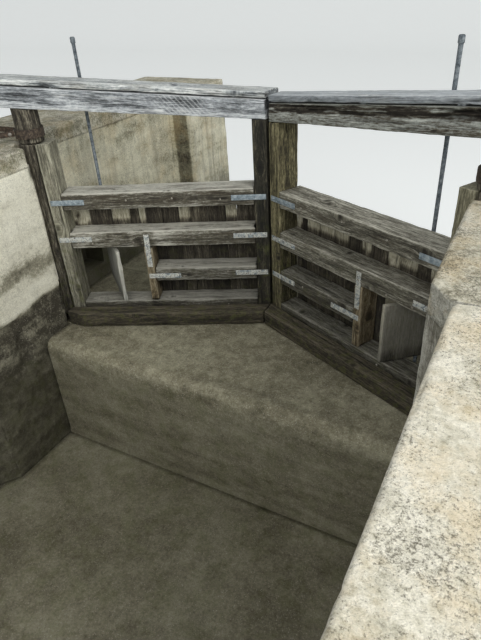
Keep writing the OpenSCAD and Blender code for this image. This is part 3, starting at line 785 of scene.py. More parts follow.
def closed_stack(stack, sides, top_step):
    """Points, normals and faces of a stack of rings with a flat underside, and a top with its own points."""
    rings, count, _ = stack.shape
    _, under = capped(stack[0, :, :2], stack[0, 0, 2], 0, down=True)
    over, top_faces = capped(stack[-1, :, :2], stack[-1, 0, 2], top_step)
    own = np.concatenate([np.arange(count) + (rings - 1) * count, np.arange(len(over)) + rings * count])
    points = np.concatenate([stack.reshape(-1, 3), over])
    normals = np.concatenate([sides.reshape(-1, 3), np.tile([0.0, 0.0, 1.0], (len(over), 1))])
    return points, normals, [ring_quads(rings, count), np.concatenate([under, own[top_faces]])]


def block(levels, deep, top_step=0.0):
    """A solid from rings at rising heights.

    deep gives how far each point of the surface is worn in, how bare its aggregate lies and its tone, from
    its place and its outward normal."""
    stack = np.array([np.column_stack([ring, np.full(len(ring), z)]) for z, ring in levels])
    sides = np.array([np.column_stack([outward(ring), np.zeros(len(ring))]) for _, ring in levels])
    points, normals, faces = closed_stack(stack, sides, top_step)
    amount, wear, tone = deep(points, normals)
    return points - normals * amount[:, None], faces, {"wear": wear, "tone": tone + 0 * wear}


# Settings, with the sizes that a user would change


class TimberSettings(bpy.types.PropertyGroup):
    crack_depth: bpy.props.FloatProperty(
        name="Crack depth", description="Depth of the drying cracks in the beams", default=0.028, min=0.0,
        max=0.06, unit="LENGTH")
    board_gap: bpy.props.FloatProperty(
        name="Board gap", description="Mean gap between neighbouring boards of the planking", default=0.0008,
        min=0.0005, max=0.02, unit="LENGTH")


class ConcreteSettings(bpy.types.PropertyGroup):
    arris: bpy.props.FloatProperty(
        name="Worn arris", description="Radius to which the chamber edge of the coping is worn",
        default=0.030, min=0.005, max=0.06, unit="LENGTH")
    mesh_step: bpy.props.FloatProperty(
        name="Surface step", description="Size of the faces on the worn concrete", default=0.03, min=0.015,
        max=0.2, unit="LENGTH")


class IronSettings(bpy.types.PropertyGroup):
    bolt: bpy.props.FloatProperty(
        name="Bolt head", description="Width of the bolt heads on the straps", default=0.026, min=0.01,
        max=0.05, unit="LENGTH")


# Pieces of the leaves


def mitre_face(depth):
    """Distance along the leaf at which the mitre line lies, at a depth behind its front."""
    return (MITRE_GAP - depth * math.sin(MITRE_ANGLE)) / math.cos(MITRE_ANGLE)


def placed(part, side):
    """A part in the leaf's frame, brought to the row frame."""
    points, faces, marks = part
    return from_leaf(points, side), faces if side > 0 else turned(faces), marks


def line_through(u, z):
    slope, level = np.polyfit(u, z, 1)
    return lambda at: level + slope * at


def beam_lines(name):
    """Underside and top of a beam and top of its cap, as heights over the distance from the mitre."""
    lines = []
    for node in (name + "_beam", name + "_beam_cap"):
        u, _, z = to_leaf(cad_points(node), SIDES[name]).T
        over = z - line_through(u, z)(u)
        upper = over > (over.min() + over.max()) / 2
        if node == name + "_beam":
            lines.append(line_through(u[~upper], z[~upper]))
        lines.append(line_through(u[upper], z[upper]))
    return lines


def between(part, under, over, height):
    """A part drawn from 0 to a height, fitted between two sloping lines."""
    points, faces, marks = part
    points = points.copy()
    low, high = under(points[:, 0]), over(points[:, 0])
    points[:, 2] = low + points[:, 2] * (high - low) / height
    return points, faces, marks


def near(value, centre, half):
    """1 at the centre of a stretch, and close to 0 past its half length."""
    return np.exp(-((value - centre) / half) ** 2)


def left_beam_tone(t, w, z, nw, nz, height):
    """A bleached ragged fringe low on the beam, dark wet stretches and white patches above it."""
    share = z / height
    fringe = step_up(0.3 + 0.3 * (layered(t * 5, z * 30, 0, 211, 3) - 0.5) - share, 0, 0.06)
    stretches = ((2.52, 0.16), (2.22, 0.13), (1.5, 0.2), (0.86, 0.2), (0.3, 0.16))
    dark = sum(near(t, centre, half) for centre, half in stretches)
    dark = dark * near(share, 0.62, 0.3) * step_up(layered(t * 3, z * 34, 0, 213, 4), 0.34, 0.62)
    white = (near(t, 2.08, 0.09) + near(t, 1.56, 0.09)) * near(share, 0.72, 0.2)
    return 0.22 * fringe - 0.3 * dark + 0.25 * white


def rotten(t, share):
    """1 over the upper part of the right beam, where the timber has gone soft."""
    return step_up(share + 0.25 * (layered(t * 1.4, 0.3, 0, 61, 3) - 0.5), 0.5, 0.66)


def right_beam_tone(t, w, z, nw, nz, height):
    """The rotten part is brown, and pale flakes stand on it."""
    flakes = step_up(layered(t * 3.5, z * 60, 0, 217, 4), 0.55, 0.68)
    return rotten(t, z / height) * step_up(-nw, 0.4, 0.9) * (-0.46 + 0.55 * flakes) - 0.02


def right_beam_rot(t, w, z, nw, nz, height):
    """The rot has eaten the front away in ridges, with one deep pit; timber paints shade into these hollows from
    their depth.
    """
    eaten = step_up(layered(t * 2.2, z * 14, 0, 31, 4), 0.34, 0.6)
    ridges = step_up(layered(t * 0.9, z * 80, 0, 35, 3), 0.35, 0.65)
    pit = 0.03 * near(t, 2.0, 0.16) * near(z / height, 0.5, 0.16)
    depth = step_up(t, 0.1, 0.45) * (0.008 + 0.05 * eaten * (0.35 + 0.65 * ridges))
    return step_up(-nw, 0.5, 0.9) * (pit + rotten(t, z / height) * depth)


class SLUICE_OT_beams(bpy.types.Operator):
    """Balance beams: heavy timbers that rise and deepen towards their tails"""
    bl_idname = "sluice.beams"
    bl_label = "Balance beams"

    def execute(self, context):
        settings = context.scene.sluice_timber
        looks = {
            "left": dict(shades=("#35383a", "#686c6e", "#8f9395", "#b5b9ba", "#d6d8d5"), stain="#55534e",
                         stain_share=0.35, top=0.2, sawn=(-0.78, 0.26)),
            "right": dict(shades=("#211c15", "#595448", "#80827b", "#9da098", "#c6c6bb"), stain="#4e473a",
                          stain_share=0.3, top=0.2),
        }
        for name, side in SIDES.items():
            node = name + "_beam"
            tail, depth = leaf_box(node)[1][:2]
            under, over, _ = beam_lines(name)
            height = over(0) - under(0)
            chamfer = 0.04
            wear = Wear(ridge=0.0035, swell=0.004, edge=0.006, checks=7, check_w=0.009,
                        check_d=settings.crack_depth, knots=2)
            if name == "left":
                wear.tone = lambda *place: left_beam_tone(*place, height)
            else:
                wear.tone = lambda *place: right_beam_tone(*place, height)
                wear.rot = lambda *place: right_beam_rot(*place, height)
            part = timber(
                (0, 0, 0), (tail, depth, height), 0, wear, seed=3 if name == "left" else 8, step=0.0095,
                station=0.02, radius=0.009, start=lambda w, z: mitre_face(w),
                stop=lambda w, z: tail - np.clip(chamfer - np.minimum(w, depth - w), 0, chamfer))
            look = weathered_timber("grey_oak_beam_" + name, **looks[name])
            dress(node, [placed(between(part, under, over, height), side)], look)
        return {"FINISHED"}


class SLUICE_OT_caps(bpy.types.Operator):
    """Cap planks that lie on packers along the top of the beams"""
    bl_idname = "sluice.caps"
    bl_label = "Cap planks"

    def execute(self, context):
        looks = {
            "left": dict(shades=("#26282a", "#585c5e", "#7f8485", "#aeb2b0", "#dddfda"), stain="#77705f",
                         top=0.2),
            "right": dict(shades=("#474b4d", "#7b8083", "#92979a", "#abb0b2", "#d2d4d2"), stain="#77776f",
                          top=0.18, streaks=0.7),
        }
        for name, side in SIDES.items():
            node = name + "_beam_cap"
            _, high = leaf_box(node)
            _, under, over = beam_lines(name)
            thick, gap = over(0) - under(0), 0.008
            wear = Wear(ridge=0.0022, swell=0.003, edge=0.006, checks=4, check_w=0.006, check_d=0.012,
                        knots=3, arris=0.3)
            if name == "left":
                wear.tone = lambda t, w, z, nw, nz: (0.08 - 0.3 * near(t, 2.2, 0.1)) * step_up(-nw, 0.4, 0.9)
            else:
                # Painted shade: the front face of the right cap is darkened, as that side faces away from the
                # light
                wear.tone = lambda t, w, z, nw, nz: -0.16 * step_up(-nw, 0.4, 0.9)
            plank = timber(
                (0, 0, gap), (high[0], high[1], thick), 0, wear, 14 if name == "left" else 19, step=0.010,
                station=0.025, radius=0.007, start=lambda w, z: mitre_face(w))
            parts = [plank]
            for k, u in enumerate(np.arange(0.3, high[0] - 0.06, 0.9)):
                parts.append(timber(
                    (u, 0.02, 0), (u + 0.06, high[1] - 0.02, gap + 0.006), 1, Wear(0.0005, 0.0005, 0.001, 0),
                    40 + k, step=0.02, station=0.05, radius=0.001))
            look = weathered_timber("grey_pine_plank_" + name, stain_share=0.4, **looks[name])
            dress(node, [placed(between(part, under, over, thick), side) for part in parts], look)
        return {"FINISHED"}


FRAME_LOOKS = {
    "left": dict(shades=("#1f1d17", "#433f35", "#5f5b4e", "#a3a195", "#c9c6b8"), stain="#40382b", top=0.4,
                 wet=0.5, algae=0.15, streaks=0.75),
    "right": dict(shades=("#25221b", "#4d4a40", "#6b685b", "#a09d8f", "#c9c6b6"), stain="#3f3729", top=0.17,
                  wet=0.55, algae=0.25, streaks=0.8),
}


class SLUICE_OT_rails(bpy.types.Operator):
    """Rails and stiles of the leaves, bolted between the posts"""
    bl_idname = "sluice.rails"
    bl_label = "Rails and stiles"

    def execute(self, context):
        def blotched(t, w, z, nw, nz):
            """Dried silt and algae on the part near the heel."""
            silt = step_up(layered(t * 5, z * 9, 0, 233, 4), 0.42, 0.66) * step_up(t, 0.9, 1.3)
            return -0.08 + 0.2 * silt * step_up(-nw, 0.4, 0.9)

        rail_tones = {"left_middle_rail": blotched, "left_lower_rail": lambda *place: 0.06}
        for name, side in SIDES.items():
            look = weathered_timber("wet_grey_rail_" + name, stain_share=0.5, **FRAME_LOOKS[name])
            tan = weathered_timber("tan_stile_timber_" + name,
                                   ("#3b3222", "#6f6149", "#8f8166", "#a89c82", "#c9c0a8"),
                                   stain="#4a3f2d", wet=0.3, algae=0.2)
            for k, part_name in enumerate(("top_rail", "middle_rail", "lower_rail", "bottom_rail", "stile")):
                node = f"{name}_{part_name}"
                low, high = leaf_box(node)
                along = 2 if part_name == "stile" else 0
                wear = Wear(ridge=0.002, swell=0.003, edge=0.006, checks=3, check_w=0.006, check_d=0.014,
                            knots=2, arris=0.35, tone=rail_tones.get(node, lambda *place: -0.08))
                part = timber(low, high, along, wear, seed=50 + k + 10 * (side > 0), step=0.012, station=0.03,
                              radius=0.007)
                dress(node, [placed(part, side)], tan if part_name == "stile" else look)
        return {"FINISHED"}


POST_SHADES = {
    "left_heel_post": ("#2b281f", "#5d5a4c", "#827f6e", "#aaa792", "#cfccb8"),
    "right_heel_post": ("#26231b", "#55513f", "#77735e", "#9d9980", "#c3bfa8"),
    "left_mitre_post": ("#0f0f0c", "#191812", "#23221a", "#3b382d", "#6e6855"),
    "right_mitre_post": ("#171510", "#383425", "#57523a", "#7f785a", "#aba27f"),
    "left_quoin_post": ("#171510", "#312d26", "#4a453a", "#736d5d", "#a39e8d"),
    "right_quoin_post": ("#171510", "#312d26", "#4a453a", "#736d5d", "#a39e8d"),
}


class SLUICE_OT_posts(bpy.types.Operator):
    """Heel posts, rounded quoin posts and mitre posts"""
    bl_idname = "sluice.posts"
    bl_label = "Posts"

    def execute(self, context):
        for name, side in SIDES.items():
            heel_look, quoin_look, mitre_look = (
                weathered_timber(f"old_oak_{name}_{kind}", POST_SHADES[f"{name}_{kind}"], stain="#2c271d",
                                 stain_share=0.45, wet=0.3, algae=0.5,
                                 streaks=0.65 if kind == "heel_post" else 1.0)
                for kind in ("heel_post", "quoin_post", "mitre_post"))
            wear = Wear(ridge=0.003, swell=0.003, edge=0.005, checks=5, check_w=0.007, check_d=0.02, knots=2)
            node = name + "_heel_post"
            low, high = leaf_box(node)
            heel = timber(low, high, 2, wear, seed=70 + side, step=0.011, station=0.032)
            dress(node, [placed(heel, side)], heel_look)

            node = name + "_mitre_post"
            low, high = leaf_box(node)
            depth, inner = high[1], high[0]
            nose = [(mitre_face(0), 0), (inner, 0), (inner, depth), (mitre_face(depth), depth)]
            under = beam_lines(name)[0]
            post = timber(
                low, high, 2, wear, seed=80 + side, station=0.032, ring=plan_ring(nose, 0.006, 0.011),
                stop=lambda u, w: under(u))
            dress(node, [placed(post, side)], mitre_look)

            node = name + "_quoin_post"
            low, high = leaf_box(node)
            edge = leaf_box(name + "_heel_post")[1][0]
            coping_top = leaf_box(name + "_heel_post")[1][2]
            reach = high[1] / 2
            centre = np.array([high[0] - reach, reach])
            turns = np.linspace(-1, 1, 25) * math.pi / 2
            half = [centre + reach * np.array([math.cos(turn), math.sin(turn)]) for turn in turns]
            groove_w, groove_d = 0.018, 0.040
            shape = [(edge, groove_d), (edge + groove_w, groove_d), (edge + groove_w, 0)]
            shape += half + [(edge, 2 * reach)]
            lower = timber(
                (edge, 0, low[2]), (high[0], 2 * reach, coping_top), 2, wear, seed=90 + side, station=0.034,
                ring=plan_ring(shape, 0.006, 0.013))
            turn = np.linspace(0, 2 * math.pi, 72, endpoint=False)
            circle = np.stack([np.cos(turn), np.sin(turn)], 1)
            neck = timber(
                (centre[0] - reach, 0, coping_top), (high[0], 2 * reach, high[2]), 2,
                Wear(ridge=0.004, swell=0.006, edge=0.0, checks=6, check_w=0.009, check_d=0.03, arris=0),
                seed=96 + side,
                station=0.02, ring=(centre + reach * circle, circle), stop=lambda u, w: under(u))
            dress(node, [placed(lower, side), placed(neck, side)], quoin_look)
        return {"FINISHED"}


# Where the boards that stay pale above the middle rail lie, as distances from the mitre
PALE_BOARDS = {
    "left": ((0.38, 0.507), (0.926, 1.054), (1.441, 1.535), (1.63, 1.842), (2.104, 2.27)),
    "right": ((0.162, 0.242), (0.323, 0.94), (1.115, 1.235), (1.415, 1.797), (1.934, 2.1)),
}


class SLUICE_OT_planking(bpy.types.Operator):
    """Upright boards of many widths on the upstream face of the leaves"""
    bl_idname = "sluice.planking"
    bl_label = "Planking"

    def execute(self, context):
        gap = context.scene.sluice_timber.board_gap
        for name, side in SIDES.items():
            look = weathered_timber(
                "stained_pine_board_" + name, ("#17150f", "#37322a", "#575145", "#8d8773", "#c6c1ab"),
                stain="#2a2418", stain_share=0.3, top=0.0, wet=0.35, algae=0.2, streaks=0.6, lines=0.4)
            node = name + "_planking"
            rail_top = leaf_box(name + "_middle_rail")[1][2]
            rng = np.random.default_rng(7 if name == "left" else 11)
            parts = []
            for low, high in leaf_solids(node):
                cuts = [low[0]] + [edge for board in PALE_BOARDS[name] for edge in board
                                   if low[0] + 0.05 < edge < high[0] - 0.05] + [high[0]]
                for start, stop in zip(cuts[:-1], cuts[1:]):
                    middle = (start + stop) / 2
                    pale = any(p < middle < q for p, q in PALE_BOARDS[name])
                    count = max(1, round((stop - start) / 0.19))
                    for k in range(count):
                        u0, u1 = (start + (stop - start) * (k + share) / count for share in (0, 1))
                        foot = rail_top + rng.uniform(0.0, 0.03)
                        strength = rng.uniform(0.3, 0.42) if pale else rng.uniform(-0.2, -0.02)

                        def tone(t, u, w, nu, nw):
                            bow = ((u - (u0 + u1) / 2) / (u1 - u0) * 2) ** 2
                            rise = t - foot - 0.03 * bow - 0.03 * (layered(u * 9, t * 5, 0, 227, 3) - 0.5)
                            upper = step_up(rise, 0, 0.02)
                            return strength * (upper if strength > 0.1 else 1) - 0.1 * (1 - upper)

                        space = gap * rng.uniform(0.3, 1.0)
                        front = rng.choice([0.0, 0.003, 0.008, 0.014])
                        part = timber(
                            (u0 + space / 2, low[1] + front, low[2] + rng.uniform(0, 0.02)),
                            (u1 - space / 2, high[1], high[2]), 2,
                            Wear(ridge=0.0006, swell=0.0004, edge=0.003, checks=1, check_w=0.004,
                                 check_d=0.008, arris=0, tone=tone),
                            seed=int(rng.integers(100, 999)), step=0.014, station=0.05, radius=0.004)
                        parts.append(placed(part, side))
            dress(node, parts, look)
        return {"FINISHED"}


class SLUICE_OT_paddles(bpy.types.Operator):
    """Butterfly paddles: a thick panel on each stem"""
    bl_idname = "sluice.paddles"
    bl_label = "Paddles"

    def execute(self, context):
        looks = {
            "left": ("#5a5a54", "#8c8c84", "#a6a69e", "#bdbdb3", "#d6d4c6"),
            "right": ("#3a372e", "#6c695e", "#838074", "#9a978b", "#c4bfac"),
        }
        for name, side in SIDES.items():
            node = name + "_paddle"
            low, high = leaf_box(node)
            at = stem_place(name)
            half, thick, swung = 0.4, 0.05, math.radians(65)

            def tone(t, x, y, nx, ny):
                share = (t - low[2]) / (high[2] - low[2])
                return -0.3 * step_up(0.3 - share, 0, 0.25) + 0.25 * step_up(-nx, 0.5, 0.9)

            wear = Wear(ridge=0.0008, swell=0.0015, edge=0.003, checks=0, knots=0, arris=0.45, tone=tone)
            points, faces, marks = timber((-half, -thick / 2, low[2]), (half, thick / 2, high[2]), 2, wear,
                                          seed=120 + side, step=0.014, station=0.02, radius=0.003)
            c, s = math.cos(swung), math.sin(swung)
            x, y, z = points.T
            points = np.stack([at[0] + x * c - y * s, at[1] + x * s + y * c, z], 1)
            look = weathered_timber("smooth_paddle_panel_" + name, looks[name], stain="#5a554a",
                                    stain_share=0.3, streaks=0.45, top=0.3, wet=0.35, algae=0.2, lines=0.15)
            dress(node, [placed((points, faces, marks), side)], look)
        return {"FINISHED"}


def joint_place(joint):
    for row in frame["joints"]:
        if row["name"] == joint:
            return np.array(row["pos_m"], float)
    raise RuntimeError(f"the frame has no joint {joint}")


def stem_place(name):
    """The axis of a paddle's stem, in the leaf's own frame."""
    return to_leaf(joint_place(name + "_paddle_turn")[None], SIDES[name])[0]


# Ironwork


def lathe(profile, place, axis, count=20, twist=0.0, out=1):
    """A closed turned solid from (height, radius) pairs along an axis, or against it where out is -1."""
    angle = np.arange(count) / count * 2 * math.pi + twist
    height, radius = np.array(profile, float).T
    stack = np.empty((len(profile), count, 3))
    stack[..., axis] = out * height[:, None]
    stack[..., (axis + 1) % 3] = radius[:, None] * np.cos(angle)
    stack[..., (axis + 2) % 3] = radius[:, None] * np.sin(angle)
    points, faces = tube(stack + np.asarray(place, float))
    return points, faces if out > 0 else turned(faces), {}


def bolt_head(place, width):
    """A domed head that stands out from the downstream face."""
    r = width / 2
    profile = [(0, r), (0.18 * r, r * 1.02), (0.42 * r, 0.9 * r), (0.62 * r, 0.6 * r), (0.7 * r, 0.25 * r)]
    return lathe(profile, place, 1, 14, out=-1)


def nut(place, axis, width, height, out=1, twist=0.0):
    """A hexagon nut on the end of its bolt."""
    r = width / math.sqrt(3)
    profile = [(0, r), (0.85 * height, r), (height, 0.86 * r), (height, 0.52 * r), (1.45 * height, 0.5 * r),
               (1.5 * height, 0.44 * r)]
    return lathe(profile, place, axis, 6, 0.3 + twist, out)


def plate(low, high, along, radius, step, station, wear=Wear(0, 0, 0, 0), seed=1):
    points, faces, _ = timber(low, high, along, wear, seed, step, station, radius)
    return points, faces, {}


def crisp(piece, degrees=40):
    piece.data.set_sharp_from_angle(angle=math.radians(degrees))


class SLUICE_OT_straps(bpy.types.Operator):
    """Flat plates bolted across the joints of the frame, with the bolt heads beside them"""
    bl_idname = "sluice.straps"
    bl_label = "Straps and bolts"

    def execute(self, context):
        width = context.scene.sluice_iron.bolt
        zinc = zinc_coated_steel("zinc_coated_plate")
        old = rusted_iron("bleached_bolt_iron", "#5c554a", "#8b867a", "#b7b3a6", metallic=0.2)
        rng = np.random.default_rng(5)
        # Distance from the mitre and drop below the middle rail's top
        lone_bolts = {
            "left": [(2.217, 0.138), (2.051, 0.138), (1.745, 0.138), (1.574, 0.138)],
            "right": [(1.508, 0.153), (1.672, 0.153), (1.966, 0.153), (1.007, 0.043)],
        }
        head_gap, bed = 0.0035, 0.003
        for name, side in SIDES.items():
            node = name + "_straps"
            parts = []
            for low, high in leaf_solids(node):
                along = 0 if high[0] - low[0] > high[2] - low[2] else 2
                front = low[1]
                low = low + np.array([0, bed, 0])
                parts.append(plate(low, high, along, 0.0025, 0.02, 0.03))
                for share in (0.09, 0.34, 0.66, 0.91):
                    place = (low + high) / 2
                    place[along] = low[along] + share * (high[along] - low[along])
                    place[1] = front + head_gap
                    parts.append(bolt_head(place, 0.021))
            crisp(dress(node, [placed(part, side) for part in parts], zinc))

            top = leaf_box(name + "_middle_rail")[1][2]
            heads = [bolt_head((u, 0.004, top - drop), width) for u, drop in lone_bolts[name]]
            for rail_name in ("top_rail", "lower_rail", "bottom_rail"):
                low, high = leaf_box(f"{name}_{rail_name}")
                for u in np.arange(low[0] + 0.35, high[0] - 0.3, 0.55):
                    u += rng.uniform(-0.04, 0.04)
                    drop = rng.uniform(0.35, 0.65) * (high[2] - low[2])
                    heads.append(bolt_head((u, 0.004, high[2] - drop), 0.9 * width))
            points, faces, _ = joined([placed(head, side) for head in heads])
            mesh = new_mesh(name + "_rail_bolts_mesh", points, faces)
            add_piece(name + "_rail_bolts", mesh, [old], name + "_leaf")
        return {"FINISHED"}


class SLUICE_OT_collars(bpy.types.Operator):
    """Iron collars round the necks of the quoin posts"""
    bl_idname = "sluice.collars"
    bl_label = "Collars"

    def execute(self, context):
        look = rusted_iron("rusted_collar_iron", "#26211c", "#453b31", "#6c5f50")
        low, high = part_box("collars")
        outer, thick = 0.153, 0.014
        angle = (np.arange(110) / 110 * 2 * math.pi)[:, None]
        profile, normals = rounded_ring((outer - thick, low[2]), (outer, high[2]), 0.004, 0.012)
        parts = []
        for name, side in SIDES.items():
            at = joint_place(name + "_leaf_swing")
            r, z, out = (column[None] + 0 * angle for column in (profile[:, 0], profile[:, 1], normals[:, 0]))
            rough = layered(np.cos(angle) * 6, np.sin(angle) * 6, z * 30, 77 + side, 4)
            r = r - 0.005 * rough * step_up(out, 0.1, 0.9)
            z = z - 0.004 * rough * normals[:, 1][None]
            parts.append(hoop(np.stack([at[0] + r * np.cos(angle), at[1] + r * np.sin(angle), z], -1)))
        crisp(dress("collars", parts, look), 50)
        return {"FINISHED"}


def mirrored(part, side):
    """A part made for the right bank, put on the bank that is wanted."""
    points, faces, marks = part
    return part if side > 0 else (points * np.array([-1, 1, 1]), turned(faces), marks)


class SLUICE_OT_anchors(bpy.types.Operator):
    """Anchor arms that hold each collar to the coping"""
    bl_idname = "sluice.anchors"
    bl_label = "Anchor arms"

    def execute(self, context):
        look = rusted_iron("rusted_anchor_iron", "#2b241e", "#4d4136", "#766352")
        bare = rusted_iron("pale_nut_iron", "#5c574e", "#8b867c", "#b3afa5")
        low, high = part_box("anchors")
        arm_start, arm_end, foot_start, arm_deep = 0.1535, 0.85, 0.69, 0.06
        arm_low = high[2] - arm_deep
        middle = (arm_low + high[2]) / 2
        rough = Wear(ridge=0.0012, swell=0.0015, edge=0.002, checks=0)
        made = [
            plate((arm_start, -0.008, arm_low), (arm_end, 0.008, high[2]), 0, 0.002, 0.008, 0.02, rough, 5),
            plate((foot_start, -0.07, low[2]), (arm_end, 0.07, arm_low + 0.001), 0,
                  0.004, 0.02, 0.02, rough, 6),
        ]
        for x, y in ((0.72, 0.045), (0.72, -0.045), (0.82, 0.045), (0.82, -0.045)):
            made.append(nut((x, y, arm_low), 2, 0.03, 0.016, 1, x * 40))
        made += [nut((0.2, out * 0.008, middle), 1, 0.034, 0.018, out) for out in (1, -1)]
        parts = []
        for name, side in SIDES.items():
            at = joint_place(name + "_leaf_swing")
            for turn in np.radians((0, -51)):
                c, s = math.cos(turn), math.sin(turn)
                for points, faces, _ in made:
                    x, y, z = points.T
                    points = np.stack([side * at[0] + x * c - y * s, at[1] + x * s + y * c, z], 1)
                    parts.append(mirrored((points, faces, {}), side))
        piece = dress("anchors", parts, look, bare)
        # Every arm has its two plates first and then its nuts
        nut_part = np.arange(len(parts)) % len(made) > 1
        quads, fans = ([len(part[1][k]) for part in parts] for k in (0, 1))
        index = np.concatenate([np.repeat(nut_part, quads), np.repeat(nut_part, fans)])
        piece.data.polygons.foreach_set("material_index", index.astype(np.int32))
        crisp(piece)
        return {"FINISHED"}


class SLUICE_OT_pintles(bpy.types.Operator):
    """Pins under the quoin posts, each in its shoe"""
    bl_idname = "sluice.pintles"
    bl_label = "Pintles"

    def execute(self, context):
        look = rusted_iron("wet_cast_iron", "#1c1b19", "#35312c", "#5b4a3a")
        low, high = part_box("pintles")
        floor, top = low[2], high[2]
        profile = [(floor, 0.118), (floor + 0.003, 0.12), (floor + 0.019, 0.12), (floor + 0.025, 0.112),
                   (floor + 0.0255, 0.05), (floor + 0.03, 0.04), (top - 0.022, 0.04), (top - 0.008, 0.034),
                   (top, 0.02)]
        places = [joint_place(name + "_leaf_swing") * np.array([1, 1, 0]) for name in SIDES]
        crisp(dress("pintles", [lathe(profile, at, 2, 40) for at in places], look))
        return {"FINISHED"}


class SLUICE_OT_stems(bpy.types.Operator):
    """Paddle stems with their heads, and the guides that hold them"""
    bl_idname = "sluice.stems"
    bl_label = "Stems and guides"

    def execute(self, context):
        pipe = rusted_iron("painted_stem_iron", "#3f464b", "#6b7378", "#969c9d", scale=26.0, metallic=0.3)
        guide = rusted_iron("rusted_guide_iron", "#231d18", "#43352a", "#6f5540")
        for name, side in SIDES.items():
            at = stem_place(name)
            node = name + "_stem"
            low, high = leaf_box(node)
            u, w, z = to_leaf(cad_points(node), side).T
            radii, heights = np.unique(np.round(np.hypot(u - at[0], w - at[1]), 3)), np.unique(np.round(z, 3))
            r, head_r = radii[0], radii[-1]
            foot, top, neck = low[2], high[2], high[2] - (heights[-1] - heights[-2])
            shaft = [(foot, r - 0.003), (foot + 0.004, r)]
            for z in np.arange(foot + 0.03, neck - 0.01, 0.05):
                shaft.append((z, r - 0.0012 * float(noise(z * 9, side, 0, 3))))
            shaft += [(neck, r), (neck + 0.001, head_r - 0.003), (neck + 0.006, head_r), (top - 0.01, head_r),
                      (top - 0.003, head_r - 0.004), (top, head_r - 0.01)]
            crisp(dress(node, [placed(lathe(shaft, (at[0], at[1], 0), 2, 28), side)], pipe))

            node = name + "_stem_guides"
            parts = []
            angle = (np.arange(40) / 40 * 2 * math.pi)[:, None]
            for low, high in leaf_solids(node):
                outer = (high[0] - low[0]) / 2
                profile, _ = rounded_ring((outer - 0.010, low[2]), (outer, high[2]), 0.0025, 0.02)
                # The round part is cut off where it meets the timber
                r, z = (column[None] + 0 * angle for column in profile.T)
                across = np.maximum(at[1] + r * np.sin(angle), low[1] + 0.0005)
                parts.append(hoop(np.stack([at[0] + r * np.cos(angle), across, z], -1)))
                for off in (-1, 1):
                    u = at[0] + off * (outer - 0.009)
                    parts.append(plate((u - 0.008, low[1], low[2] + 0.004),
                                       (u + 0.008, at[1] - 0.018, high[2] - 0.004), 1, 0.002, 0.01, 0.01))
            crisp(dress(node, [placed(part, side) for part in parts], guide))
        return {"FINISHED"}


# The lock head


def corner_distance(points, corners):
    """Level distance of each point to the nearest of some corners."""
    found = np.full(len(points), 9.0)
    for x, y in corners:
        found = np.minimum(found, np.hypot(points[:, 0] - x, points[:, 1] - y))
    return found


def wall_wear(side, corners, seed, marks=0.0025, rough=0.004, zone=None):
    """Board marks, hollows and worn edges of a cast wall; a zone adds its own depth, bareness and tone."""
    def deep(points, normal):
        x, y, z = points.T
        board = scatter(np.floor(z / 0.19 + 0.5 * noise(0, 0, z * 0.7, seed)).astype(np.int64), 0, 0, seed)
        edge = np.exp(-corner_distance(points, corners) / 0.016)
        chips = step_up(lumps(points * (5, 5, 7), seed + 7), 0.45, 0.7)
        hollow = step_up(lumps(points * (1.1, 1.1, 1.4), seed + 11), 0.6, 0.72)
        amount = rough * (lumps(points * 1.9, seed, 3) + 0.45 * lumps(points * 13, seed + 3, 3))
        amount = amount + marks * board
        amount = amount + edge * (0.001 + 0.010 * chips) + 0.014 * hollow
        wear, tone = np.clip(hollow + edge * chips, 0, 1), 0.025 * (board - 0.5) - 0.04 * hollow
        if zone:
            depth, bare, shade = zone(x, y, z)
            amount, wear, tone = amount + depth, np.maximum(wear, bare), tone + shade
        return amount * np.clip(-side * normal[:, 0] + np.abs(normal[:, 1]), 0, 1), wear, tone
    return deep


def lost_skin(x, y, z):
    """The left wall below a ragged line: bare aggregate, a hollow darkened with painted shade, and a bed of dirt
    above the line.
    """
    ragged = 0.2 * (layered(y * 3.1, 0.4, z * 3.1, 141, 4) - 0.5)
    bare = step_up(2.22 + ragged - z, -0.01, 0.05)
    gravel = layered(y * 17, x * 17, z * 17, 143, 3)
    dirt = np.exp(-((z - 2.6 + ragged) / 0.12) ** 2)
    hole = np.exp(-((y + 1.865) / 0.075) ** 4 - ((z - 1.75) / 0.2) ** 4)
    depth = bare * (0.008 + 0.024 * gravel) + 0.07 * hole * (0.4 + gravel)
    # The hole's share of the tone is painted shade inside the hollow
    tone = 0.03 - 0.17 * dirt - bare * (0.16 + 0.16 * gravel) - 0.06 * hole
    # The bank side keeps its skin
    seen = np.abs(x) < np.abs(x).max() - 0.005
    return depth * seen, bare * seen, tone * seen


def run_off(x, y, z):
    """Dark runs on the pilaster that widen from the coping down."""
    runs = layered(x * 7, y * 7, z * 0.5, 151, 4)
    return 0 * x, 0.5 * step_up(runs, 0.5, 0.7), -0.07 * step_up(runs, 0.45, 0.65)


def evened(low, high, step):
    return np.linspace(low, high, max(2, round((high - low) / step) + 1))


def evened_through(cuts, step):
    """Places from the first cut to the last, with one at each of them."""
    parts = [evened(low, high, step)[:-1] for low, high in zip(cuts[:-1], cuts[1:])]
    return np.concatenate(parts + [cuts[-1:]])


def visible_step(side, fine, coarse=0.5):
    """A fine step on the edges that face the chamber or cross it, and a coarse one on the rest."""
    def step_at(middle, along):
        out_x = side * along[1] / np.linalg.norm(along)
        level = abs(along[1]) < 0.3 * abs(along[0])
        return fine if out_x < -0.3 or (level and side * middle[0] < 2.75) else coarse
    return step_at


def crisp_outline(outline, margin=0.012):
    """The outline with a point close to each side of every corner, so that edges stay sharp."""
    points = []
    for p, q in zip(outline, np.roll(outline, -1, 0)):
        length = np.linalg.norm(q - p)
        points.append(p)
        if length > 4 * margin:
            points += [p + (q - p) * margin / length, q - (q - p) * margin / length]
    return np.array(points)


WALL_SHADES = {"left": ("#ece9d6", "#d8d4c0", "#989480"), "right": ("#d0cec2", "#a9a79b", "#6f6d61")}


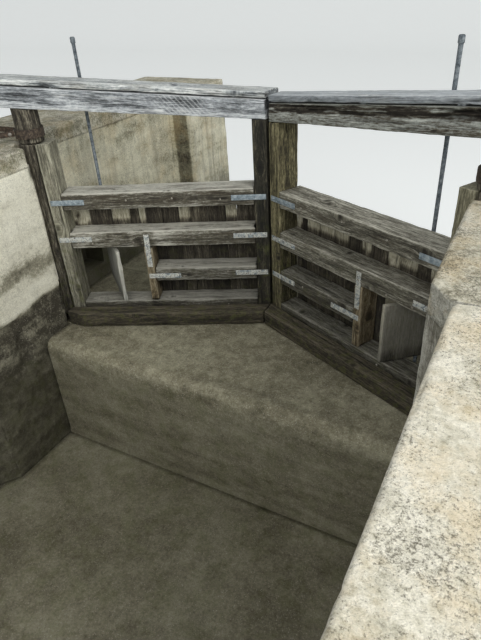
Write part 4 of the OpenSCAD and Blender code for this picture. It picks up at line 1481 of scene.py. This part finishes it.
class SLUICE_OT_tail_walls(bpy.types.Operator):
    """Walls downstream of the gate, each with its hollow quoin"""
    bl_idname = "sluice.tail_walls"
    bl_label = "Tail walls"

    def execute(self, context):
        step = context.scene.sluice_concrete.mesh_step
        looks = {
            "left": dict(streaks=0.12, speck=0.4),
            "right": dict(streaks=0.6, speck=0.6, chalk=0.6),
        }
        for name, side in SIDES.items():
            node = name + "_tail_wall"
            low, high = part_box(node)
            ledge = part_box("upper_floor")[1][2]
            upper = outlines(node, high[2])[0]
            lower = paired(upper, outlines(node, low[2])[0])
            ring_high, ring_low = resampled(crisp_outline(upper), visible_step(side, step),
                                            crisp_outline(lower))
            levels = [(z, ring_low) for z in evened(low[2], ledge - 0.001, step)]
            levels += [(z, ring_high) for z in evened(ledge, high[2], step)]
            corners = [p for p in upper if side * p[0] < 2.4 and p[1] < -1.1]
            look = old_concrete("board_marked_concrete_" + name, WALL_SHADES[name], stone_share=0.4, damp=0.7,
                                damp_top=1.6, algae=0.3, **looks[name])
            zone = lost_skin if name == "left" else run_off
            dress(node, [block(levels, wall_wear(side, corners, 21 + side, zone=zone))], look)
        return {"FINISHED"}


def paired(upper, lower):
    """For each corner of the upper outline the point below it, where the two outlines differ in one run."""
    def off(point):
        best = 9.0
        for p, q in zip(lower, np.roll(lower, -1, 0)):
            d = q - p
            share = np.clip((point - p) @ d / (d @ d), 0, 1)
            best = min(best, np.linalg.norm(point - p - share * d))
        return best > 0.002

    away = np.array([off(p) for p in upper])
    if not away.any():
        return upper.copy()
    count = len(upper)
    start = next(k for k in range(count) if away[k] and not away[k - 1])
    run = []
    k = start
    while away[k % count]:
        run.append(k % count)
        k += 1
    first, last = upper[start - 1], upper[k % count]
    corner = next(p for p in lower if min(np.linalg.norm(upper - p, axis=1)) > 0.02)
    path = [first, corner, last]
    reach = [np.linalg.norm(corner - first), np.linalg.norm(last - corner)]
    below = upper.copy()
    for place, index in enumerate(run):
        way = (place + 1) / (len(run) + 1) * sum(reach)
        leg = 0 if way < reach[0] else 1
        part = (way - leg * reach[0]) / reach[leg]
        below[index] = path[leg] + (path[leg + 1] - path[leg]) * part
    return below


class SLUICE_OT_recess_walls(bpy.types.Operator):
    """Walls behind the open leaves, each with a low niche for the paddle"""
    bl_idname = "sluice.recess_walls"
    bl_label = "Recess walls"

    def execute(self, context):
        step = context.scene.sluice_concrete.mesh_step * 1.3
        for name, side in SIDES.items():
            node = name + "_recess_wall"
            points = np.round(cad_points(node) * np.array([side, 1, 1]), 3)
            xs, ys, zs = (sorted(set(points[:, k])) for k in range(3))
            face, niche_back, outer = xs[0], xs[1], xs[-1]
            inner_y, inner_z = ys[1:-1], zs[1:-1]
            rows, front = evened_through(zs, step), evened_through(ys, step)
            ring = np.array([(face, y) for y in front[::-1]] + [(outer, ys[0]), (outer, ys[-1])])
            deep = wall_wear(1, [], 31 + side, marks=0.003)

            def worn(points, normal):
                """Wear on the face alone, and a dark bed of moss high in its middle."""
                amount, wear, tone = deep(points, normal)
                _, y, z = points.T
                moss = step_up(layered(y * 3, z * 3, 0, 163, 4), 0.42, 0.62)
                moss = moss * step_up(z - 0.5 * (y - 0.6) ** 2, 3.35, 3.9)
                return amount * (normal[:, 0] < -0.9), wear, tone - 0.12 * moss

            made, faces, marks = block([(z, ring) for z in rows], worn)
            look = old_concrete("stained_recess_concrete_" + name, ("#efebd2", "#d9d5bb", "#96927a"),
                                streaks=0.35, stone_share=0.3, damp=0.85, damp_top=2.35, algae=0.5, speck=0.6,
                                tan=0.25)
            piece = dress(node, [mirrored((made, faces, marks), side)], look)
            open_niche(piece, side, face, niche_back, inner_y, inner_z)
        return {"FINISHED"}


def open_niche(piece, side, face, back, ys, zs):
    """Pushes the faces over the niche into the wall."""
    shape = bmesh.new()
    shape.from_mesh(piece.data)
    over = []
    for polygon in shape.faces:
        centre = polygon.calc_center_median()
        if abs(side * centre.x - face) < 0.03 and ys[0] < centre.y < ys[1] and zs[0] < centre.z < zs[1]:
            over.append(polygon)
    if not over:
        raise RuntimeError(f"{piece.name} has no faces over its niche")
    made = bmesh.ops.extrude_face_region(shape, geom=over)
    bmesh.ops.delete(shape, geom=over, context="FACES_ONLY")
    for vertex in (v for v in made["geom"] if isinstance(v, bmesh.types.BMVert)):
        vertex.co.x = side * (back - 0.003 * float(noise(vertex.co.y * 5, vertex.co.z * 5, 0.5, 4)))
    shape.to_mesh(piece.data)
    shape.free()
    piece.data.set_sharp_from_angle(angle=math.radians(40))


class SLUICE_OT_head_walls(bpy.types.Operator):
    """Walls upstream of the gate recesses"""
    bl_idname = "sluice.head_walls"
    bl_label = "Head walls"

    def execute(self, context):
        step = context.scene.sluice_concrete.mesh_step * 1.2
        for name, side in SIDES.items():
            node = name + "_head_wall"
            low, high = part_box(node)
            outline = outlines(node, high[2])[0]
            plain = visible_step(side, step)
            ring = resampled(crisp_outline(outline), lambda middle, along: (
                step if middle[1] < low[1] + 0.01 and side * middle[0] < 3.0 else plain(middle, along)))
            corners = [p for p in outline if side * p[0] < 2.4]
            look = old_concrete("pale_head_concrete_" + name, ("#efebd4", "#d8d4bb", "#96927a"),
                                streaks=0.5, stone_share=0.3, damp=0.8, damp_top=2.3, algae=0.5, speck=0.5,
                                tan=0.3)
            levels = [(z, ring) for z in evened(low[2], high[2], step)]

            def painted_return_shade(x, y, z):
                """Painted shade: a broad dark band on the end that faces the recess, where that return lies in
                shadow.
                """
                half, middle = 0.13, 2.45 - 0.05 * (noise(z * 2, seed=171) - 0.5)
                # The band is painted shade, laid on the tone of the return face
                stain = step_up(half - np.abs(np.abs(x) - middle), -0.02, 0.03)
                return 0 * x, 0 * x, -0.17 * stain * (y < low[1] + 0.02)

            dress(node, [block(levels, wall_wear(side, corners, 41 + side, zone=painted_return_shade))], look)
        return {"FINISHED"}


def rounded_outline(outline, radii, step=0.007):
    """The outline with its outer corners cut round, and each new point's place."""
    points = []
    for k, corner in enumerate(outline):
        before = corner - outline[k - 1]
        after = outline[(k + 1) % len(outline)] - corner
        short = min(np.linalg.norm(before), np.linalg.norm(after))
        before, after = before / np.linalg.norm(before), after / np.linalg.norm(after)
        turn = math.atan2(before[0] * after[1] - before[1] * after[0], before @ after)
        if turn < 0.15:
            points.append(corner)
            continue
        radius = min(radii[k], 0.45 * short / math.tan(turn / 2))
        cut = radius * math.tan(turn / 2)
        out = np.array([before[1], -before[0]])
        centre = corner - before * cut - out * radius
        first = math.atan2(out[1], out[0])
        for share in np.linspace(0, 1, max(2, math.ceil(radius * turn / step)) + 1):
            angle = first + share * turn
            points.append(centre + radius * np.array([math.cos(angle), math.sin(angle)]))
    return np.array(points)


# Tone of each slab, from the downstream end
SLAB_TONES = {"left": (0.0, 0.0, -0.05, -0.02), "right": (0.025, -0.03, -0.02, 0.0)}


class SLUICE_OT_copings(bpy.types.Operator):
    """Coping slabs with a worn round arris along the chamber"""
    bl_idname = "sluice.copings"
    bl_label = "Copings"

    def execute(self, context):
        settings = context.scene.sluice_concrete
        for name, side in SIDES.items():
            node = name + "_coping"
            low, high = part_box(node)
            parts = []
            for number, outline in enumerate(outlines(node, low[2])):
                ahead = np.roll(outline, -1, 0) - outline
                out_x = side * ahead[:, 1] / np.linalg.norm(ahead, axis=1)
                chamber = out_x < -0.5
                touches = chamber | np.roll(chamber, 1)
                radii = np.where(touches, settings.arris + 0.004, 0.012)
                ring = resampled(rounded_outline(outline, radii), lambda middle, along: 0.02)
                out = outward(ring)
                unit = out / np.linalg.norm(out, axis=1)[:, None]
                share = step_up(-side * unit[:, 0], 0.2, 0.85)
                radius = 0.007 + (settings.arris - 0.007) * share
                levels = [(z, ring, 0.0) for z in evened(low[2], high[2] - settings.arris - 0.004, 0.03)]
                for turn in np.radians((0, 18, 36, 54, 72, 90)):
                    inset = (radius * (1 - math.cos(turn)))[:, None]
                    levels.append((high[2] - radius * (1 - math.sin(turn)), ring - out * inset, turn))
                parts.append(coping_block(levels, side, 61 + side + 5 * number, SLAB_TONES[name][number]))
            look = old_concrete("worn_coping_concrete_" + name, ("#e9e4d3", "#c6c1ad", "#847f6c"),
                                upright=WALL_SHADES[name], stone="#a8a290", stone_share=0.3, speck=0.85,
                                moss=0.0 if side > 0 else 0.45, tan=0.36 if side > 0 else 0.3)
            dress(node, parts, look)
        return {"FINISHED"}


def coping_block(levels, side, seed, shade):
    """One slab: upright sides, a rounded edge and a pitted top."""
    stack, units = [], []
    for z, ring, turn in levels:
        out = outward(ring)
        unit = out / np.linalg.norm(out, axis=1)[:, None]
        stack.append(np.column_stack([ring, z + 0 * ring[:, 0]]))
        units.append(np.column_stack([unit * math.cos(turn), np.full(len(ring), math.sin(turn))]))
    points, normal, faces = closed_stack(np.array(stack), np.array(units), 0.023)
    above = points[:, 2] > points[0, 2] + 0.001
    pits = step_up(lumps(points * 17, seed + 4, 3), 0.6, 0.78)
    spall = step_up(lumps(points * 3.1, seed + 6), 0.58, 0.68)
    arris = normal[:, 2] * np.clip(np.hypot(normal[:, 0], normal[:, 1]), 0, 1) * 2
    bites = step_up(lumps(points * 6, seed + 8), 0.5, 0.72)
    amount = 0.005 * lumps(points * (1.3, 1.3, 0), seed, 3) + 0.0022 * lumps(points * 24, seed + 2, 3)
    amount = (amount + 0.004 * pits + 0.004 * spall + arris * 0.012 * bites) * above
    wear = np.clip(0.6 * spall + 0.5 * pits + 0.7 * arris, 0, 1)
    # The upright faces over the chamber are worn as the wall below them is
    wall_amount, _, wall_tone = wall_wear(side, [], 21 + side)(points, normal)
    upright = (np.abs(normal[:, 2]) < 0.01) & (side * normal[:, 0] < -0.5) & above
    amount = np.where(upright, wall_amount, amount)
    tone = np.where(upright, wall_tone - (0.03 if side > 0 else 0.07), shade)
    return points - normal * amount[:, None], faces, {"wear": wear, "tone": tone}


class SLUICE_OT_floors(bpy.types.Operator):
    """Mitre block with its rounded crest, floors and cut-off wall"""
    bl_idname = "sluice.floors"
    bl_label = "Floors and mitre block"

    def execute(self, context):
        wet = old_concrete("algae_stained_concrete", ("#aca88f", "#857f69", "#57523f"), stone_share=0.6,
                           damp=0.45, damp_top=1.6, algae=0.6, speck=0.4)

        def flat(seed, amount=0.012):
            def deep(points, normal):
                worn = amount * lumps(points * (1.6, 1.6, 1), seed, 3)
                worn = worn + 0.004 * lumps(points * (12, 12, 1), seed + 2, 3)
                return worn * normal[:, 2], lumps(points * (3, 3, 0), seed + 4, 3), 0
            return deep

        for k, node in enumerate(("upper_floor", "lower_floor", "cutoff_wall")):
            low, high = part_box(node)
            outline = outlines(node, high[2])[0]
            ring = resampled(outline, lambda middle, along: 0.1)
            dress(node, [block([(low[2], ring), (high[2], ring)], flat(71 + k), top_step=0.07)], wet)

        low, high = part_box("breast_wall")
        outline = outlines("breast_wall", low[2])[0]
        ring = resampled(crisp_outline(outline), lambda middle, along: 0.05)
        crest = 0.12
        front = low[1]
        # The crest is rounded over the front, and the other sides stay upright
        run = 0.43
        levels = [(z, ring) for z in evened(low[2], high[2] - crest, 0.05)]
        for turn in np.radians((15, 30, 45, 60, 75, 90)):
            back = crest * (1 - math.cos(turn))
            moved = ring.copy()
            share = np.clip(1 - (ring[:, 1] - front) / run, 0, 1)
            moved[:, 1] += back * share
            levels.append((high[2] - crest * (1 - math.sin(turn)), moved))

        def deep(points, normal):
            worn = 0.012 * lumps(points * 2.1, 81) + 0.004 * lumps(points * 15, 83, 3)
            front_or_top = np.clip(-normal[:, 1] + normal[:, 2], 0, 1) * (points[:, 2] >= 0.3)
            return worn * front_or_top, lumps(points * 2, 85, 3), 0

        dress("breast_wall", [block(levels, deep, top_step=0.06)], wet)
        return {"FINISHED"}


class SLUICE_OT_sill(bpy.types.Operator):
    """Sill timbers that the feet of the leaves close on"""
    bl_idname = "sluice.sill"
    bl_label = "Mitre sill"

    def execute(self, context):
        look = weathered_timber("black_sill_oak", ("#16140f", "#2c281f", "#3d382c", "#5c5545", "#7a7260"),
                                stain="#1d1a13", stain_share=0.6, top=0.2, wet=0.3, algae=0.5)
        low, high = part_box("mitre_sill")
        parts = []
        c, s = math.cos(MITRE_ANGLE), math.sin(MITRE_ANGLE)
        wear = Wear(ridge=0.003, swell=0.004, edge=0.01, checks=3, check_w=0.008, check_d=0.02)
        # Each bar lies along its leaf, cut off at the middle of the chamber, at the wall's face and at the
        # crest of the breast wall
        front, back, longest, crest, joint = -0.208, -0.008, 2.2, -1.167, 0.002
        for side in SIDES.values():
            face = abs(low[0]) if side < 0 else high[0]
            part = timber((0.0, front, low[2]), (longest, back, high[2]), 0, wear, 130 + side, step=0.014,
                          station=0.035, radius=0.01, start=lambda w, z: (joint - w * s) / c,
                          stop=lambda w, z: np.minimum((face - w * s) / c, (w * c - crest) / s))
            parts.append(placed(part, side))
        dress("mitre_sill", parts, look)
        return {"FINISHED"}


# Studio


class SLUICE_OT_stage(bpy.types.Operator):
    """Pale floor and backdrop, soft light and the camera"""
    bl_idname = "sluice.stage"
    bl_label = "Stage, light and camera"

    def execute(self, context):
        paper = studio_paper("matt_studio_paper", "#e4e6e4", 0.42)
        reach, wall, bend, tall, half, below = 60.0, 45.0, 8.0, 40.0, 90.0, 0.002
        profile = [(-reach, 0.0), (wall - bend, 0.0)]
        for turn in np.linspace(0, math.pi / 2, 16)[1:]:
            profile.append((wall - bend + bend * math.sin(turn), bend - bend * math.cos(turn)))
        profile.append((wall, tall))
        points = [(x, y, z - below) for y, z in profile for x in (-half, half)]
        faces = [(2 * k, 2 * k + 1, 2 * k + 3, 2 * k + 2) for k in range(len(profile) - 1)]
        mesh = new_mesh("studio_sweep_mesh", np.array(points), [np.array(faces)])
        mesh.materials.append(paper)
        sweep = bpy.data.objects.new("studio_sweep", mesh)
        context.scene.collection.objects.link(sweep)

        world = bpy.data.worlds.new("studio_world")
        context.scene.world = world
        world.use_nodes = True
        tree = world.node_tree
        tree.nodes.clear()
        add(tree, "OutputWorld", {0: add(tree, "Background", {0: "#eef1f4", 1: 0.56})})

        for name, place, aim, power, size in (
            ("key", (12.0, -6.0, 10.2), (0.0, -0.6, 3.0), 1670.0, 12.0),
            ("fill", (1.0, -12.5, 12.0), (0.0, 0.0, 2.8), 670.0, 9.0),
        ):
            lamp = bpy.data.lights.new(name, "AREA")
            lamp.energy = power
            lamp.size = size
            lamp.shape = "DISK"
            holder = bpy.data.objects.new(name, lamp)
            holder.location = place
            holder.rotation_euler = (Vector(aim) - Vector(place)).to_track_quat("-Z", "Y").to_euler()
            context.scene.collection.objects.link(holder)

        yaw, pitch, roll = 0.5213631167, -0.5642750677, 0.0612104215
        turn = Matrix.Rotation(yaw, 3, "Z") @ Matrix.Rotation(pitch, 3, "X") @ Matrix.Rotation(roll, 3, "Y")
        right, ahead, up = (turn @ Vector(v) for v in ((1, 0, 0), (0, 1, 0), (0, 0, 1)))
        pose = Matrix((right, up, -ahead)).transposed().to_4x4()
        pose.translation = (2.512935955, -5.159892922, 5.275438667)
        camera = bpy.data.cameras.new("camera")
        camera.sensor_fit = "VERTICAL"
        camera.sensor_height = 36
        camera.lens = 30.9495
        camera.clip_end = 400
        holder = bpy.data.objects.new("camera", camera)
        holder.matrix_world = pose
        context.scene.collection.objects.link(holder)
        context.scene.camera = holder
        context.scene.view_settings.view_transform = "Standard"
        return {"FINISHED"}


OPERATORS = (
    SLUICE_OT_beams, SLUICE_OT_caps, SLUICE_OT_rails, SLUICE_OT_posts, SLUICE_OT_planking, SLUICE_OT_paddles,
    SLUICE_OT_straps, SLUICE_OT_collars, SLUICE_OT_anchors, SLUICE_OT_pintles, SLUICE_OT_stems,
    SLUICE_OT_tail_walls, SLUICE_OT_recess_walls, SLUICE_OT_head_walls, SLUICE_OT_copings, SLUICE_OT_floors,
    SLUICE_OT_sill, SLUICE_OT_stage,
)


class SLUICE_PT_panel(bpy.types.Panel):
    bl_label = "Sluice gate"
    bl_idname = "SLUICE_PT_panel"
    bl_space_type = "VIEW_3D"
    bl_region_type = "UI"
    bl_category = "Sluice Gate"

    def draw(self, context):
        layout = self.layout
        for group in (context.scene.sluice_timber, context.scene.sluice_concrete, context.scene.sluice_iron):
            for name in group.bl_rna.properties.keys():
                if name not in ("rna_type", "name"):
                    layout.prop(group, name)
        for operator in OPERATORS:
            layout.operator(operator.bl_idname)


GROUPS = {"sluice_timber": TimberSettings, "sluice_concrete": ConcreteSettings, "sluice_iron": IronSettings}


def register():
    for group in GROUPS.values():
        bpy.utils.register_class(group)
    for name, group in GROUPS.items():
        setattr(bpy.types.Scene, name, bpy.props.PointerProperty(type=group))
    for operator in OPERATORS:
        bpy.utils.register_class(operator)
    bpy.utils.register_class(SLUICE_PT_panel)


def unregister():
    bpy.utils.unregister_class(SLUICE_PT_panel)
    for operator in reversed(OPERATORS):
        bpy.utils.unregister_class(operator)
    for name, group in GROUPS.items():
        delattr(bpy.types.Scene, name)
        bpy.utils.unregister_class(group)


def main():
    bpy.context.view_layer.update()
    register()
    for operator in OPERATORS:
        group, name = operator.bl_idname.split(".")
        getattr(getattr(bpy.ops, group), name)()


if __name__ == "__main__":
    main()
